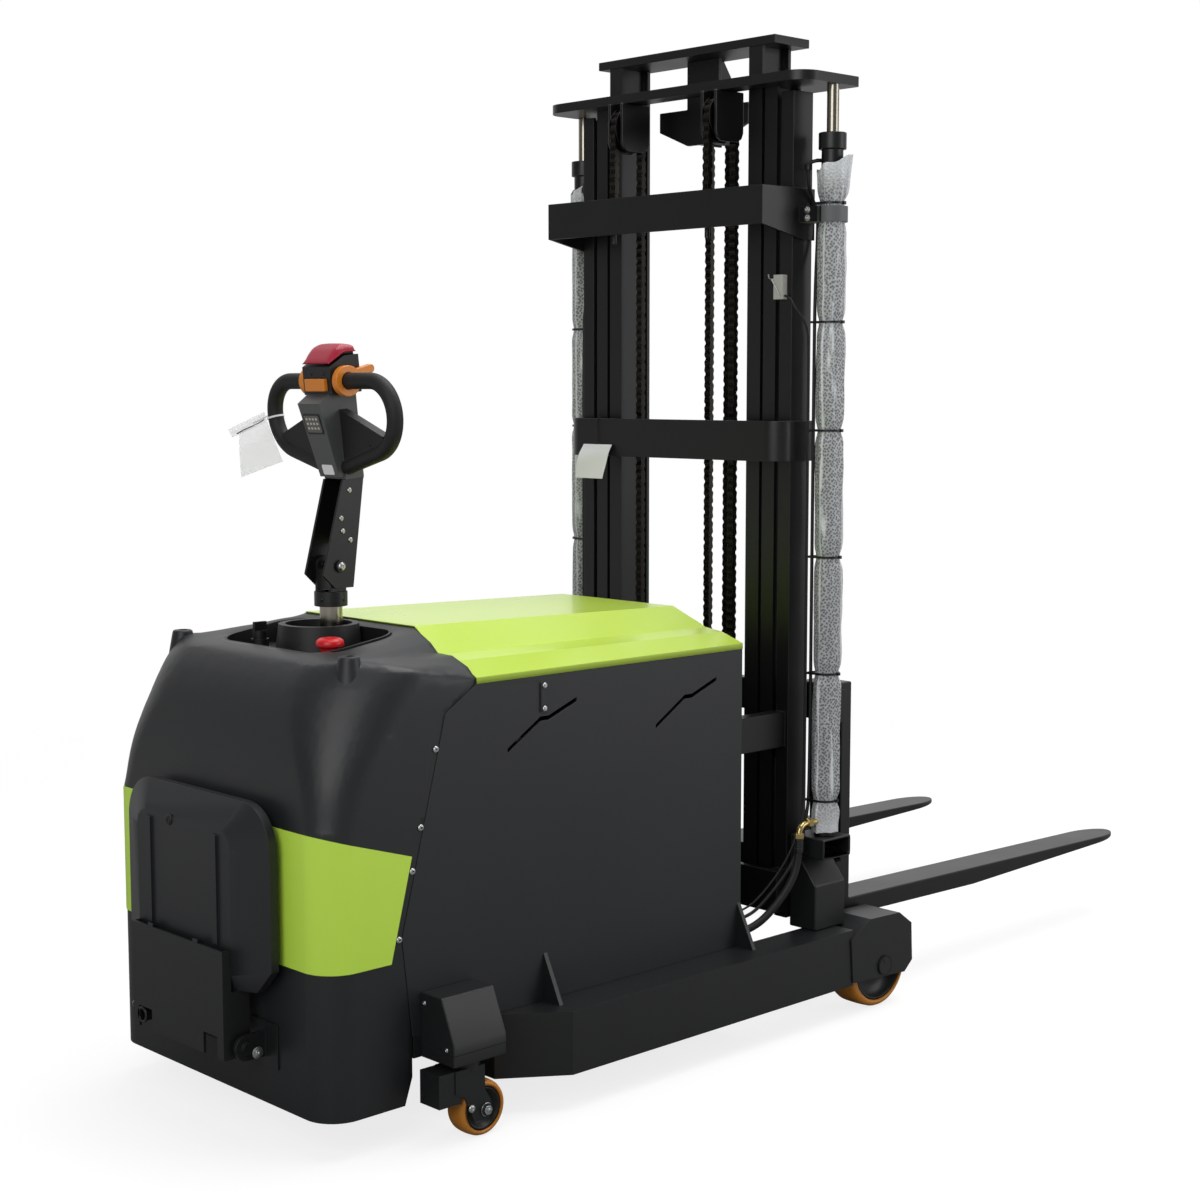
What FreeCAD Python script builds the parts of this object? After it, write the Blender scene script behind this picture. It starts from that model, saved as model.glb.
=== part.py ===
import FreeCAD
import Part
import math
import os

# Counterbalance stacker with a three-stage mast, drawn in millimetres.
# X runs forward along the forks, Y to the truck's left, Z up from the floor.
# Every length is taken from the steering axis, the centre plane and the floor;
# the finished parts are moved together so that the whole stands on its bottom centre.

Vec = FreeCAD.Vector

# General fits
run_gap = 0.05
slide_gap = 0.3
turn_gap = 0.2
past = 1.0

# Body box
body_half = 387.0
body_front = 860.0
body_top = 900.0
sheet = 6.0
frame_bottom = 77.0
frame_top = 212.0
beam_width = 47.0
beam_front_x = 110.0
beam_rear_x = -96.0
rear_beam_bottom = 168.0
cross_depth = 60.0
floor_thick = 12.0
bay_front = 194.0
wall_thick = 12.0
bay_wall_top = 880.0
plate_bottom = 350.0
plate_top = 370.0
plate_half_step = 107.0
plate_half = body_half - plate_half_step
web_thick = 12.0

# Rear cover
cover_rear = -305.0
cover_wall = 5.0
cover_bottom = 77.0
cover_front = 70.0
loft_start = 640.0
loft_heights = (640.0, 728.0, 800.0, 847.0, 895.0, 931.0, 960.0, 985.0, 1010.0)
loft_rears = (-305.0, -296.0, -284.0, -272.0, -254.0, -232.0, -206.0, -178.0, -145.0)
loft_insets = (0.0, 0.0, 0.0, 0.0, 0.5, 3.0, 11.0, 25.0, 47.0)
loft_radii = (70.0, 97.0, 135.0, 160.0, 177.0, 185.0, 185.0, 182.0, 175.0)
deck_rear_z = 955.0
deck_front_z = 996.0
deck_rear_x = -206.0
cover_reach = 60.0
shoulder_rear = -170.0
shoulder_front = 80.0
shoulder_rear_insets = (112.0, 102.0, 95.0, 87.0, 57.0, -13.0)
shoulder_front_insets = (199.0, 144.0, 119.0, 73.0, 23.0, -5.0)
shoulder_rear_z = 961.5
shoulder_heights = (998.0, 971.0, 951.0, 950.0, 931.0, 903.0)
toe_x = -100.0
toe_z = 212.0
toe_low_x = -119.0
toe_low_z = 132.0
seam_low_x = -124.0
seam_low_z = 415.0
seam_knee_x = -10.0
seam_knee_z = 850.0
seam_gap = 2.0
boss_x = -176.0
boss_y_step = 89.0
boss_y = body_half - boss_y_step
boss_base_r = 30.0
boss_top_r = 15.0
boss_foot_z = 905.0
boss_top_z = 970.0
boss_hole_r = 9.0
boss_hole_depth = 6.0
cover_screw_heights = (781.0, 630.0, 546.0, 415.0)
cover_screw_r = 5.0
cover_screw_head = 3.0
screw_inset = 6.0

# Cover band
band_thick = 2.0
band_low = 370.0
band_end_top_x = -97.0
band_end_top_z = 576.0
band_end_low_x = -150.0
band_turn_x = -244.0
band_turn_z = 621.0
band_rear_z = 640.0

# Control tray
tray_rear = -168.0
tray_front = 42.0
tray_half = 190.0
tray_corner = 60.0
tray_wall = 5.0
tray_floor = 940.0
tray_floor_thick = 6.0
ring_x = -32.0
ring_outer_r = 92.0
ring_top_r = 84.0
ring_hole_r = 70.0
ring_top = 999.0

# Emergency stop and key switch
switch_x = -95.0
switch_y = 125.0
stop_head_r = 29.0
stop_skirt_r = 20.0
stop_stem_r = 12.0
stop_top = 985.0
stop_head_low = 966.0
stop_skirt_low = 950.0
stop_stem_low = 912.0
stop_edge = 5.0
key_base_r = 19.0
key_base_top = 960.0
key_body_r = 15.0
key_body_top = 978.0
key_grip_thick = 8.0
key_grip_top = 996.0
key_stem_r = 7.0
key_stem_low = 920.0

# Side panels
panel_slot_width = 9.0
slot_starts = (154.0, 582.0)
slot_base_z = 754.0
slot_length = 192.0
slot_rise = 86.0
slot_run_shares = (0.0, 0.47, 0.59, 1.0)
slot_rise_shares = (0.0, 0.65, 0.65, 1.0)
latch_x = 252.0
latch_low = 824.0
latch_high = 886.0
latch_half = 9.0
latch_thick = 4.0

# Hood
hood_rear = 72.0
hood_lip = 913.0
hood_over = 1.0
hood_half = body_half + hood_over
hood_wall = 4.0
hood_gap = 0.2
hood_front_wall = 8.0
hood_y_shares = (1.0, 1.0, 0.835, 0.695, 0.58, 0.49)
hood_rear_top = 1000.0
hood_front_top = 984.0
hood_z_shares = (0.0, 0.13, 0.40, 0.48, 0.76, 1.0)
hood_nose = 24.0
hood_nose_drop_share = 0.55
hinge_r = 7.0
hinge_half = 150.0
hinge_mid = 60.0
hinge_pin_r = 4.0
hinge_ahead = 8.0
hinge_leaf = 3.0
hinge_leaf_low = 868.0
hinge_leaf_top = 911.0

# Inside the body
battery_rear = 420.0
battery_front = 838.0
battery_half_step = 67.0
battery_half = body_half - battery_half_step
battery_top = 720.0
lid_thick = 20.0
lid_over = 6.0
tank_rear = 222.0
tank_front = 396.0
tank_side_step = 87.0
tank_side = body_half - tank_side_step
tank_inner = 40.0
tank_top = 480.0
pump_r = 55.0
pump_top = 640.0
controller_depth = 120.0
controller_top = 520.0
weight_rear = -298.0
weight_front = -165.0
weight_half_step = 157.0
weight_half = body_half - weight_half_step
weight_bottom = 95.0

# Outriggers
leg_inner = body_half
leg_width = 97.0
leg_outer = leg_inner + leg_width
leg_bend_x = 244.0
leg_rear_x = 110.0
leg_rear_y_step = 4.0
leg_rear_y = leg_inner + leg_rear_y_step
leg_front_x = 1150.0
gusset_rear_x = 250.0
gusset_front_x = 848.0
gusset_thick = 10.0
gusset_top = 314.0
gusset_reach = 50.0
housing_rear = 1139.0
housing_length = 234.0
housing_low = 73.0
housing_height = 155.0
housing_x_shares = (0.035, 0.0, 0.305, 0.78, 0.98, 1.0, 0.875)
housing_z_shares = (0.07, 0.75, 1.0, 0.975, 0.76, 0.16, 0.0)
housing_outer_step = 4.0
housing_outer = leg_outer + housing_outer_step
housing_plate = 12.0
housing_inner_step = 7.0
housing_inner = leg_inner - housing_inner_step
housing_inner_plate = 8.0
housing_roof = 6.0
load_axle_x = 1264.0
load_wheel_r = 105.0
load_wheel_room = 8.0
load_wheel_width = housing_outer - housing_plate - housing_inner - housing_inner_plate - load_wheel_room
load_wheel_y = (housing_outer - housing_plate + housing_inner + housing_inner_plate) / 2
load_axle_r = 15.0
load_cap_r = 22.0
load_cap_thick = 4.0
load_hub_r = 88.0
load_recess = 12.0
load_side_gap = 3.5
tread_edge = 6.0

# Casters
mount_rear = -78.0
mount_front = 57.0
mount_outer_step = 103.0
mount_outer = body_half + mount_outer_step
mount_plate_low = 168.0
mount_plate_thick = 12.0
mount_plate_top = mount_plate_low + mount_plate_thick
mount_face_top_step = 44.0
mount_face_top = mount_plate_low + mount_face_top_step
mount_top_step = 132.0
mount_top = mount_plate_low + mount_top_step
mount_top_outer_step = 38.0
mount_top_outer = mount_outer - mount_top_outer_step
caster_x = -12.0
caster_y_step = 51.0
caster_y = body_half + caster_y_step
caster_trail = 32.0
caster_r = 57.5
caster_width = 50.0
caster_hub_r = 36.0
caster_axle_r = 8.0
caster_head_r = 13.0
caster_head_thick = 6.0
caster_cheek = 5.0
caster_cheek_gap = 2.5
caster_crown_r = 34.0
caster_crown_low = 152.0
caster_yoke_low = 142.0
cheek_length = 92.0
cheek_height = 112.0
cheek_x_shares = (0.0, 0.82, 0.82, 1.0, 0.95, 0.52, 0.26, 0.0)
cheek_z_shares = (1.0, 1.0, 0.55, 0.30, 0.0, 0.0, 0.50, 0.60)
cheek_rear = -46.0
cheek_low = 38.0
caster_recess = 5.0
caster_block_rear = -86.0
caster_block_front = -30.0
caster_block_half = 30.0
caster_block_low = 84.0

# Drive unit, steering column
drive_r = 115.0
drive_width = 75.0
drive_hub_r = 70.0
drive_axle_r = 25.0
drive_leg_half = 55.0
drive_leg_inner = 41.0
drive_leg_outer = 86.0
drive_leg_low = 60.0
drive_neck_r = 88.0
drive_neck_low = 248.0
drive_flange_r = 122.0
drive_flange_thick = 20.0
drive_hole_r = 92.0
motor_r = 72.0
motor_top = 640.0
post_r = 24.0
collar_r = 35.0
collar_low = 1033.0
collar_top = 1064.0
fork_cheek_inner = 20.0
fork_cheek_outer = 28.0
fork_cheek_half = 20.0
tilt_z = 1118.0
tilt_pin_r = 8.0
tilt_head_r = 13.0
tilt_head_thick = 6.0

# Tiller arm and head
arm_inner = 28.5
arm_outer = 34.5
arm_foot_rear = -43.0
arm_foot_front = 34.0
arm_foot_drop = 46.0
arm_heel_x = -13.0
arm_heel_rise = 28.0
arm_top_x = 38.0
arm_top_z = 1308.0
arm_top_half = 26.0
arm_web_low = 1160.0
arm_web_thick = 5.0
arm_cap = 8.0
head_lean = 6.0
head_foot_x = 38.0
head_foot_z = 1301.0
spine_half = 38.0
spine_rear = -22.0
spine_front = 24.0
spine_top = 192.0
crown_half = 48.0
crown_rear = -44.0
crown_front = 32.0
crown_low = 178.0
crown_rear_top = 236.0
crown_ridge_x = -4.0
crown_top = 256.0
face_low_half = 33.0
face_high_half = 38.0
face_foot_rear = -36.0
face_top_rear = -72.0
face_shelf = 163.0
face_top_step = 17.0
face_top = face_shelf + face_top_step
face_low = 6.0
grip_r = 17.0
grip_x = -12.0
grip_out = 209.0
grip_top = 204.0
grip_upper_bend = 70.0
grip_lower_bend = 80.0
grip_lower_turn = 75.0
grip_foot = 30.0
wing_half = 11.0
wing_tip = 176.0
wing_tip_low = 58.0
wing_tip_high = 92.0
wing_top = 146.0
wing_low = 26.0
paddle_inner = 50.0
paddle_outer = 67.0
paddle_hub_r = 32.0
paddle_lobe_r = 9.0
paddle_reach = 60.0
paddle_rise = 20.0
paddle_root_share = 0.7
paddle_gap = 0.4
belly_half = 47.0
belly_low = 242.0
belly_rim = 4.0
belly_rear_top = 270.0
belly_top = 282.0
belly_front = 28.0
belly_front_top = 276.0
belly_shoulder = 7.0
belly_stem_r = 10.0
belly_stem_low = 226.0
belly_stroke_room = 8.0
horn_half = 34.0
horn_low = 186.0
horn_high = 212.0
horn_proud = 9.0
horn_deep = 12.0
horn_gap = 0.3
horn_room = 6.0

# Folding platform
channel_half_step = 219.0
channel_half = body_half - channel_half_step
pad_rear = -374.0
pad_thick = 51.0
pad_border_thick = 18.0
pad_border = 90.0
pad_top_border = 60.0
pad_half = channel_half + pad_border
pad_low = 313.0
pad_high = 688.0
pad_corner = 90.0
pad_chamfer = 50.0
rib_half = 8.0
rib_proud = 5.0
rib_y_step = 48.0
rib_y = channel_half - rib_y_step
rib_low = 400.0
rib_high = 620.0
channel_rear = -394.0
channel_low = 178.0
channel_high = 397.0
channel_thick = 6.0
notch_outer_step = 22.0
notch_outer = channel_half - notch_outer_step
notch_width = 50.0
notch_inner = notch_outer - notch_width
notch_top = 222.0
flange_front = -332.0
pivot_x = -352.0
pivot_z = 200.0
pivot_r = 8.0
pivot_head_r = 13.0
pivot_head = 7.0
lug_gap = 8.0
lug_inner = channel_half + lug_gap
lug_thick = 10.0
lug_r = 26.0
lug_back_half = 46.0
lug_back_low = 154.0
lug_back_high = 246.0
lug_back_thick = 4.0

# Mast rails: rear faces in one plane, each stage inside the next
rail_rear = 1060.0
rail_flange = 9.0
outer_depth = 68.0
outer_out_step = 36.0
outer_out = body_half - outer_out_step
outer_in_step = 38.0
outer_in = outer_out - outer_in_step
outer_web = 8.0
outer_low = 232.0
outer_top = 2165.0
mid_depth = 82.0
mid_out_step = 12.0
mid_out = outer_in - mid_out_step
mid_in_step = 38.0
mid_in = mid_out - mid_in_step
mid_web_in_step = 15.0
mid_web_in = mid_in + mid_web_in_step
mid_web = 8.0
mid_web_out = mid_web_in + mid_web
mid_low = 240.0
inner_depth = 100.0
inner_out_step = 9.0
inner_out = mid_in - inner_out_step
inner_in_step = 42.0
inner_in = inner_out - inner_in_step
inner_web_in_step = 17.0
inner_web_in = inner_in + inner_web_in_step
inner_web = 8.0
inner_web_out = inner_web_in + inner_web
inner_low = 248.0
roller_heights = (300.0, 620.0)
carriage_roller_heights = (400.0, 650.0)
outer_roller_in_step = 2.0
outer_roller_in = outer_in + outer_roller_in_step
outer_roller_out_step = 10.0
outer_roller_out = outer_out - outer_roller_out_step
inner_roller_in_step = 4.0
inner_roller_in = mid_in - inner_roller_in_step
inner_roller_out_step = 3.0
inner_roller_out = mid_web_in - inner_roller_out_step
carriage_roller_in_step = 2.0
carriage_roller_in = inner_in - carriage_roller_in_step
carriage_roller_out_step = 2.0
carriage_roller_out = inner_web_in - carriage_roller_out_step
stub_r = 13.0

# Outer stage crosspieces
upper_rear = 946.0
upper_low = 1858.0
upper_high = 1945.0
upper_side_low = 1828.0
upper_side_turn = 1090.0
upper_plate = 8.0
mid_cross_rear = 1008.0
mid_cross_low = 1318.0
mid_cross_high = 1412.0
mid_cross_corner = 45.0
lower_cross_rear = 1024.0
lower_cross_thick = 16.0
lower_cross_low = 250.0
lower_cross_high = 350.0
tie_clear = 5.0
tie_inner = mid_out + tie_clear
tie_width = 36.0
tie_outer = tie_inner + tie_width
tie_low = 645.0
tie_high = 728.0
mid_tie_rear = 1044.0
mid_tie_thick = 13.0
mid_tie_low = 256.0
mid_tie_high = 336.0
inner_tie_rear = 1062.0
inner_tie_front = 1096.0
inner_tie_low = 256.0
inner_tie_high = 330.0

# Top plates
wide_low = 2177.0
wide_thick = 22.0
wide_rear = 998.0
wide_front = 1200.0
cylinder_y_step = 64.0
cylinder_y = outer_out + cylinder_y_step
wide_half_step = 17.0
wide_half = cylinder_y + wide_half_step
wide_corner = 55.0
wide_front_corner = 12.0
notch_half_step = 4.5
notch_half = inner_out + notch_half_step
notch_rear = 1055.0
narrow_low = 2277.0
narrow_thick = 20.0
narrow_rear = 1058.0
narrow_front = 1180.0
narrow_half_step = 39.0
narrow_half = inner_out + narrow_half_step

# Lift cylinders
cylinder_x = 1122.0
cylinder_r = 25.0
cylinder_top = 2030.0
cap_r = 32.0
cap_top = 2068.0
rod_r = 14.0
rod_low = 640.0
bore_low = 600.0
stub_rear = 1072.0
stub_front = 1172.0
stub_low = 385.0
stub_high = 435.0
stub_end_step = 104.0
stub_end = outer_out + stub_end_step
stub_wall = 6.0
foot_rear = 1072.0
foot_front = 1180.0
foot_shelf_step = 29.0
foot_shelf = outer_out + foot_shelf_step
foot_side_step = 81.0
foot_side = outer_out + foot_side_step
foot_side_high = 320.0
sleeve_r = 33.0
sleeve_low = 500.0
sleeve_high = 2012.0
sleeve_neck = 60.0
sleeve_neck_r = 28.0
clamp_low = 1866.0
clamp_high = 1902.0
clamp_thick = 4.0
clamp_bolt_x = 1084.0
clamp_pad = 24.0

# Hydraulic line
line_z = 470.0
elbow_r = 8.0
elbow_nut_r = 12.0
elbow_nut_length = 14.0
elbow_reach = 62.0
elbow_turn = 22.0
elbow_drop = 48.0
hose_r = 11.0
hose_end_y_step = 21.0
hose_end_y = outer_out - hose_end_y_step
hose_end_z = 236.0
hose_lead = 60.0

# Limit switch
limit_x = 1044.0
limit_outer_step = 15.0
limit_outer = outer_out - limit_outer_step
limit_width = 28.0
limit_inner = limit_outer - limit_width
limit_low = 1692.0
limit_high = 1748.0
lever_r = 2.5
lever_reach = 16.0
lever_out = 10.0

# Chains and sheaves
link_half_x = 9.0
link_half_y = 10.0
lift_x = 1026.5
lift_y_step = 56.0
lift_y = inner_in - lift_y_step
lift_pitch_r = 46.0
lift_sheave_r = 54.0
lift_axis_z = 2117.0
lift_anchor_z = 1882.0
sheave_half = 13.0
sheave_bore_r = 10.0
cheek_gap = 2.0
cheek_plate = 8.0
lift_cheek_half = 20.0
lift_cheek_low = 2097.0
anchor_half = 16.0
anchor_front = 1000.0
anchor_thick = 12.0
anchor_bolt_r = 6.0
anchor_bolt_low = 1838.0
load_chain_x = 1190.5
load_pitch_r = 34.5
load_sheave_r = 42.0
load_axis_z = 2120.0
hanger_rear = 1128.0
hanger_wall = 11.0
hanger_half = 53.0
hanger_low = 2078.0
hanger_front = 1214.0
hanger_roof_x = 1180.0
hanger_front_top = 2230.0
ear_half = 147.0
ear_high = 2165.0
ear_low_share = 0.55
lug_reach_x = 1170.0
lug_half = 18.0
lug_low = 238.0
lug_high = 252.0

# Carriage and forks
side_outer_step = 6.0
side_outer = inner_in - side_outer_step
side_thick = 16.0
side_inner = side_outer - side_thick
side_rear = 1102.0
side_low = 300.0
bar_rear = 1208.0
bar_thick = 30.0
fork_y_step = 64.0
fork_y = inner_out + fork_y_step
bar_half_step = 64.0
bar_half = fork_y + bar_half_step
upper_bar_low = 690.0
upper_bar_high = 768.0
lower_bar_low = 268.0
lower_bar_high = 348.0
chain_lug_half = 14.0
chain_lug_top = 790.0
fork_width = 100.0
fork_face = 1275.0
fork_tip = 2500.0
blade_heel_z = 247.0
blade_tip_z = 222.0
heel_thick = 45.0
tip_thick = 12.0
taper_share = 0.42
shank_top = 782.0
hook_lip = 12.0
hook_drop = 22.0
tip_run = 120.0


def block(x0, x1, y0, y1, z0, z1):
    return Part.makeBox(x1 - x0, y1 - y0, z1 - z0, Vec(x0, y0, z0))


def sided(x0, x1, y0, y1, z0, z1):
    """A block on the right side of the truck, given by its distances from the centre plane."""
    return block(x0, x1, -y1, -y0, z0, z1)


def across(x0, x1, half, z0, z1):
    return block(x0, x1, -half, half, z0, z1)


def face_of(points):
    return Part.Face(Part.makePolygon(points + [points[0]]))


def prism_xz(outline, y0, y1):
    return face_of([Vec(x, y0, z) for x, z in outline]).extrude(Vec(0, y1 - y0, 0))


def prism_yz(outline, x0, x1):
    return face_of([Vec(x0, y, z) for y, z in outline]).extrude(Vec(x1 - x0, 0, 0))


def prism_xy(outline, z0, z1):
    return face_of([Vec(x, y, z0) for x, y in outline]).extrude(Vec(0, 0, z1 - z0))


def rod_x(y, z, r, x0, x1):
    return Part.makeCylinder(r, x1 - x0, Vec(x0, y, z), Vec(1, 0, 0))


def rod_y(x, z, r, y0, y1):
    return Part.makeCylinder(r, y1 - y0, Vec(x, y0, z), Vec(0, 1, 0))


def rod_z(x, y, r, z0, z1):
    return Part.makeCylinder(r, z1 - z0, Vec(x, y, z0), Vec(0, 0, 1))


def joined(shapes):
    whole = shapes[0].fuse(shapes[1:]) if len(shapes) > 1 else shapes[0]
    return whole.removeSplitter()


def other_side(shape):
    return shape.mirror(Vec(0, 0, 0), Vec(0, 1, 0))


def both(shape):
    return [shape, other_side(shape)]


def shared_outline(x0, length, z0, height, x_shares, z_shares):
    return [(x0 + length * a, z0 + height * b) for a, b in zip(x_shares, z_shares)]


def corner_edges(centre_x, centre_y, r, start, end, z):
    """An arc in plan from one angle to another, in degrees."""
    at = lambda a: Vec(
        centre_x + r * math.cos(math.radians(a)), centre_y + r * math.sin(math.radians(a)), z
    )
    return Part.Arc(at(start), at((start + end) / 2), at(end)).toShape()


def plan_wire(rear, front, half, r, z):
    """Plan outline of the rear cover: square in front, round at both rear corners."""
    a = Vec(front, half, z)
    b = Vec(rear + r, half, z)
    c = Vec(rear, half - r, z)
    d = Vec(rear, r - half, z)
    e = Vec(rear + r, -half, z)
    f = Vec(front, -half, z)
    edges = [Part.makeLine(a, b), corner_edges(rear + r, half - r, r, 90, 180, z), Part.makeLine(c, d)]
    edges += [corner_edges(rear + r, r - half, r, 180, 270, z), Part.makeLine(e, f), Part.makeLine(f, a)]
    return Part.Wire(edges)


def round_plate(x0, x1, half, z0, z1, r_rear, r_front):
    plate = across(x0, x1, half, z0, z1)
    rear = [e for e in plate.Edges if upright(e) and e.CenterOfMass.x < (x0 + x1) / 2]
    plate = plate.makeFillet(r_rear, rear)
    front = [e for e in plate.Edges if upright(e) and e.CenterOfMass.x > x1 - r_front]
    return plate.makeFillet(r_front, front)


def upright(edge):
    box = edge.BoundBox
    return box.XLength < slide_gap and box.YLength < slide_gap


def seam_outline(shift, low):
    """Side view of the space behind the seam between the rear cover and the side panels."""
    ahead = cover_front + shift
    far = cover_rear - cover_reach
    lid = max(loft_heights) + past
    return [
        (far, low),
        (toe_low_x + shift, low),
        (toe_x + shift, max(low, toe_low_z)),
        (toe_x + shift, toe_z),
        (seam_low_x + shift, seam_low_z),
        (seam_knee_x + shift, seam_knee_z),
        (ahead, body_top),
        (ahead, lid),
        (far, lid),
    ]


def deck_height(x):
    rise = (deck_front_z - deck_rear_z) / (cover_front - deck_rear_x)
    return deck_rear_z + rise * (x - deck_rear_x)


def cover_solid(inset, low):
    """The rear cover's full form, drawn in by the wall for its hollow."""
    front = cover_front + cover_reach
    wires = []
    for z, rear, drawn, r in zip(loft_heights, loft_rears, loft_insets, loft_radii):
        wires.append(plan_wire(rear + inset, front, body_half - drawn - inset, r - inset, z))
    upper = Part.makeLoft(wires, True, False)
    skirt = Part.Face(plan_wire(cover_rear + inset, front, body_half - inset, loft_radii[0] - inset, low))
    lower = skirt.extrude(Vec(0, 0, loft_start - low))
    far = cover_rear - cover_reach
    ahead = front + past
    under = [(far, low - past), (ahead, low - past)]
    under += [(ahead, deck_height(ahead) - inset), (far, deck_height(far) - inset)]
    form = lower.fuse(upper).common(prism_xz(under, -body_half - past, body_half + past))
    return form.cut(both(shoulder_cut(inset)))


def shoulder_cut(inset):
    """What is taken off the deck's right side, so that it meets the hood in two steps."""
    lid = max(loft_heights) + past

    def section(x, insets, heights):
        line = [Vec(x, drawn - body_half, z - inset) for drawn, z in zip(insets, heights)]
        line += [Vec(x, line[-1].y, lid), Vec(x, line[0].y, lid)]
        return Part.makePolygon(line + [line[0]])

    level = [shoulder_rear_z] * len(shoulder_heights)
    rear = section(shoulder_rear, shoulder_rear_insets, level)
    front = section(shoulder_front, shoulder_front_insets, shoulder_heights)
    return Part.makeLoft([rear, front], True, True)


def tray_prism(inset, z0, z1):
    plan = across(tray_rear + inset, tray_front - inset, tray_half - inset, z0, z1)
    return plan.makeFillet(tray_corner - inset, [e for e in plan.Edges if upright(e)])


def rear_cover():
    form = cover_solid(0, cover_bottom)
    shell = form.cut(cover_solid(cover_wall, cover_bottom - past))
    boss = Part.makeCone(
        boss_base_r, boss_top_r, boss_top_z - boss_foot_z, Vec(boss_x, -boss_y, boss_foot_z)
    )
    bosses = [b.cut(cover_solid(cover_wall, cover_bottom - past)) for b in both(boss)]
    shell = shell.fuse(bosses)
    hole = rod_z(boss_x, -boss_y, boss_hole_r, boss_top_z - boss_hole_depth, boss_top_z + past)
    for h in both(hole):
        shell = shell.cut(h)
    behind = prism_xz(seam_outline(0, cover_bottom - past), -body_half - past, body_half + past)
    shell = shell.common(behind)
    shell = shell.cut(tray_prism(0, tray_floor - tray_floor_thick, deck_front_z + past))
    shell = shell.cut(post_ring())
    screws = []
    for z in cover_screw_heights:
        share = (z - seam_low_z) / (seam_knee_z - seam_low_z)
        x = seam_low_x + share * (seam_knee_x - seam_low_x) - screw_inset
        screws += both(
            rod_y(x, z, cover_screw_r, -body_half - cover_screw_head, -body_half + cover_wall / 2)
        )
    return shell.fuse(screws).removeSplitter()


def cover_band():
    outer = plan_wire(
        cover_rear - band_thick, cover_front, body_half + band_thick, loft_radii[0] + band_thick, band_low
    )
    ring = Part.Face(outer)
    core = Part.Face(plan_wire(cover_rear, cover_front + past, body_half, loft_radii[0], band_low))
    height = Vec(0, 0, band_rear_z - band_low)
    shell = ring.extrude(height).cut(core.extrude(height))
    far = cover_rear - cover_reach
    side = [
        (band_end_top_x, band_end_top_z),
        (band_end_low_x, band_low),
        (far, band_low),
        (far, band_rear_z),
        (cover_rear, band_rear_z),
        (band_turn_x, band_turn_z),
    ]
    reach = body_half + cover_reach
    return shell.common(prism_xz(side, -reach, reach))


def post_ring():
    base = tray_floor - tray_floor_thick
    return Part.makeCone(ring_outer_r, ring_top_r, ring_top - base, Vec(ring_x, 0, base))


def control_tray():
    form = tray_prism(0, tray_floor - tray_floor_thick, deck_front_z + past).common(
        cover_solid(0, cover_bottom)
    )
    tray = form.cut(tray_prism(tray_wall, tray_floor, deck_front_z + cover_reach))
    base = tray_floor - tray_floor_thick
    tray = tray.fuse(post_ring())
    tray = tray.cut(rod_z(ring_x, 0, ring_hole_r, base - past, ring_top + past))
    tray = tray.cut(rod_z(switch_x, -switch_y, stop_stem_r + slide_gap, base - past, tray_floor + past))
    tray = tray.cut(rod_z(switch_x, switch_y, key_stem_r + slide_gap, base - past, tray_floor + past))
    return tray.removeSplitter()


def stop_button():
    head = rod_z(switch_x, -switch_y, stop_head_r, stop_head_low, stop_top)
    rims = [e for e in head.Edges if abs(e.CenterOfMass.z - stop_top) < slide_gap]
    head = head.makeFillet(stop_edge, rims)
    skirt = rod_z(switch_x, -switch_y, stop_skirt_r, stop_skirt_low, stop_head_low)
    stem = rod_z(switch_x, -switch_y, stop_stem_r, stop_stem_low, stop_skirt_low)
    return joined([head, skirt, stem])


def key_switch():
    base = rod_z(switch_x, switch_y, key_base_r, tray_floor + turn_gap, key_base_top)
    body = rod_z(switch_x, switch_y, key_body_r, key_base_top, key_body_top)
    grip = block(
        switch_x - key_body_r,
        switch_x + key_body_r,
        switch_y - key_grip_thick / 2,
        switch_y + key_grip_thick / 2,
        key_body_top,
        key_grip_top,
    )
    stem = rod_z(switch_x, switch_y, key_stem_r, key_stem_low, tray_floor + turn_gap)
    return joined([base, body, grip, stem])


def base_frame():
    inner = body_half - beam_width
    shapes = []
    for beam in both(sided(beam_front_x, body_front, inner, body_half, frame_bottom, frame_top)):
        shapes.append(beam)
    for beam in both(sided(beam_rear_x, beam_front_x, inner, body_half, rear_beam_bottom, frame_top)):
        shapes.append(beam)
    shapes.append(across(body_front - cross_depth, body_front, inner, frame_bottom, frame_top))
    shapes.append(across(bay_front - wall_thick, body_front, inner, frame_top - floor_thick, frame_top))
    wall_half = body_half - sheet
    shapes.append(across(bay_front - wall_thick, bay_front, wall_half, frame_top, bay_wall_top))
    shapes.append(across(body_front - wall_thick, body_front, wall_half, frame_top, body_top))
    shapes.append(
        across(cover_rear + cover_wall, bay_front - wall_thick, plate_half, plate_bottom, plate_top)
    )
    web = sided(
        beam_rear_x, bay_front, plate_half - web_thick, plate_half, frame_top - floor_thick, plate_bottom
    )
    foot = sided(beam_rear_x, bay_front, plate_half - web_thick, inner, frame_top - floor_thick, frame_top)
    shapes += both(web) + both(foot)
    x = body_front + hinge_ahead
    shapes.append(rod_y(x, body_top, hinge_pin_r, -hinge_half, hinge_half))
    shapes.append(rod_y(x, body_top, hinge_r, -hinge_mid, hinge_mid))
    shapes.append(across(body_front, body_front + hinge_leaf, hinge_mid, hinge_leaf_low, body_top))
    frame = joined(shapes)
    return frame.cut(rod_z(0, 0, drive_hole_r, plate_bottom - past, plate_top + past))


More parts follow.
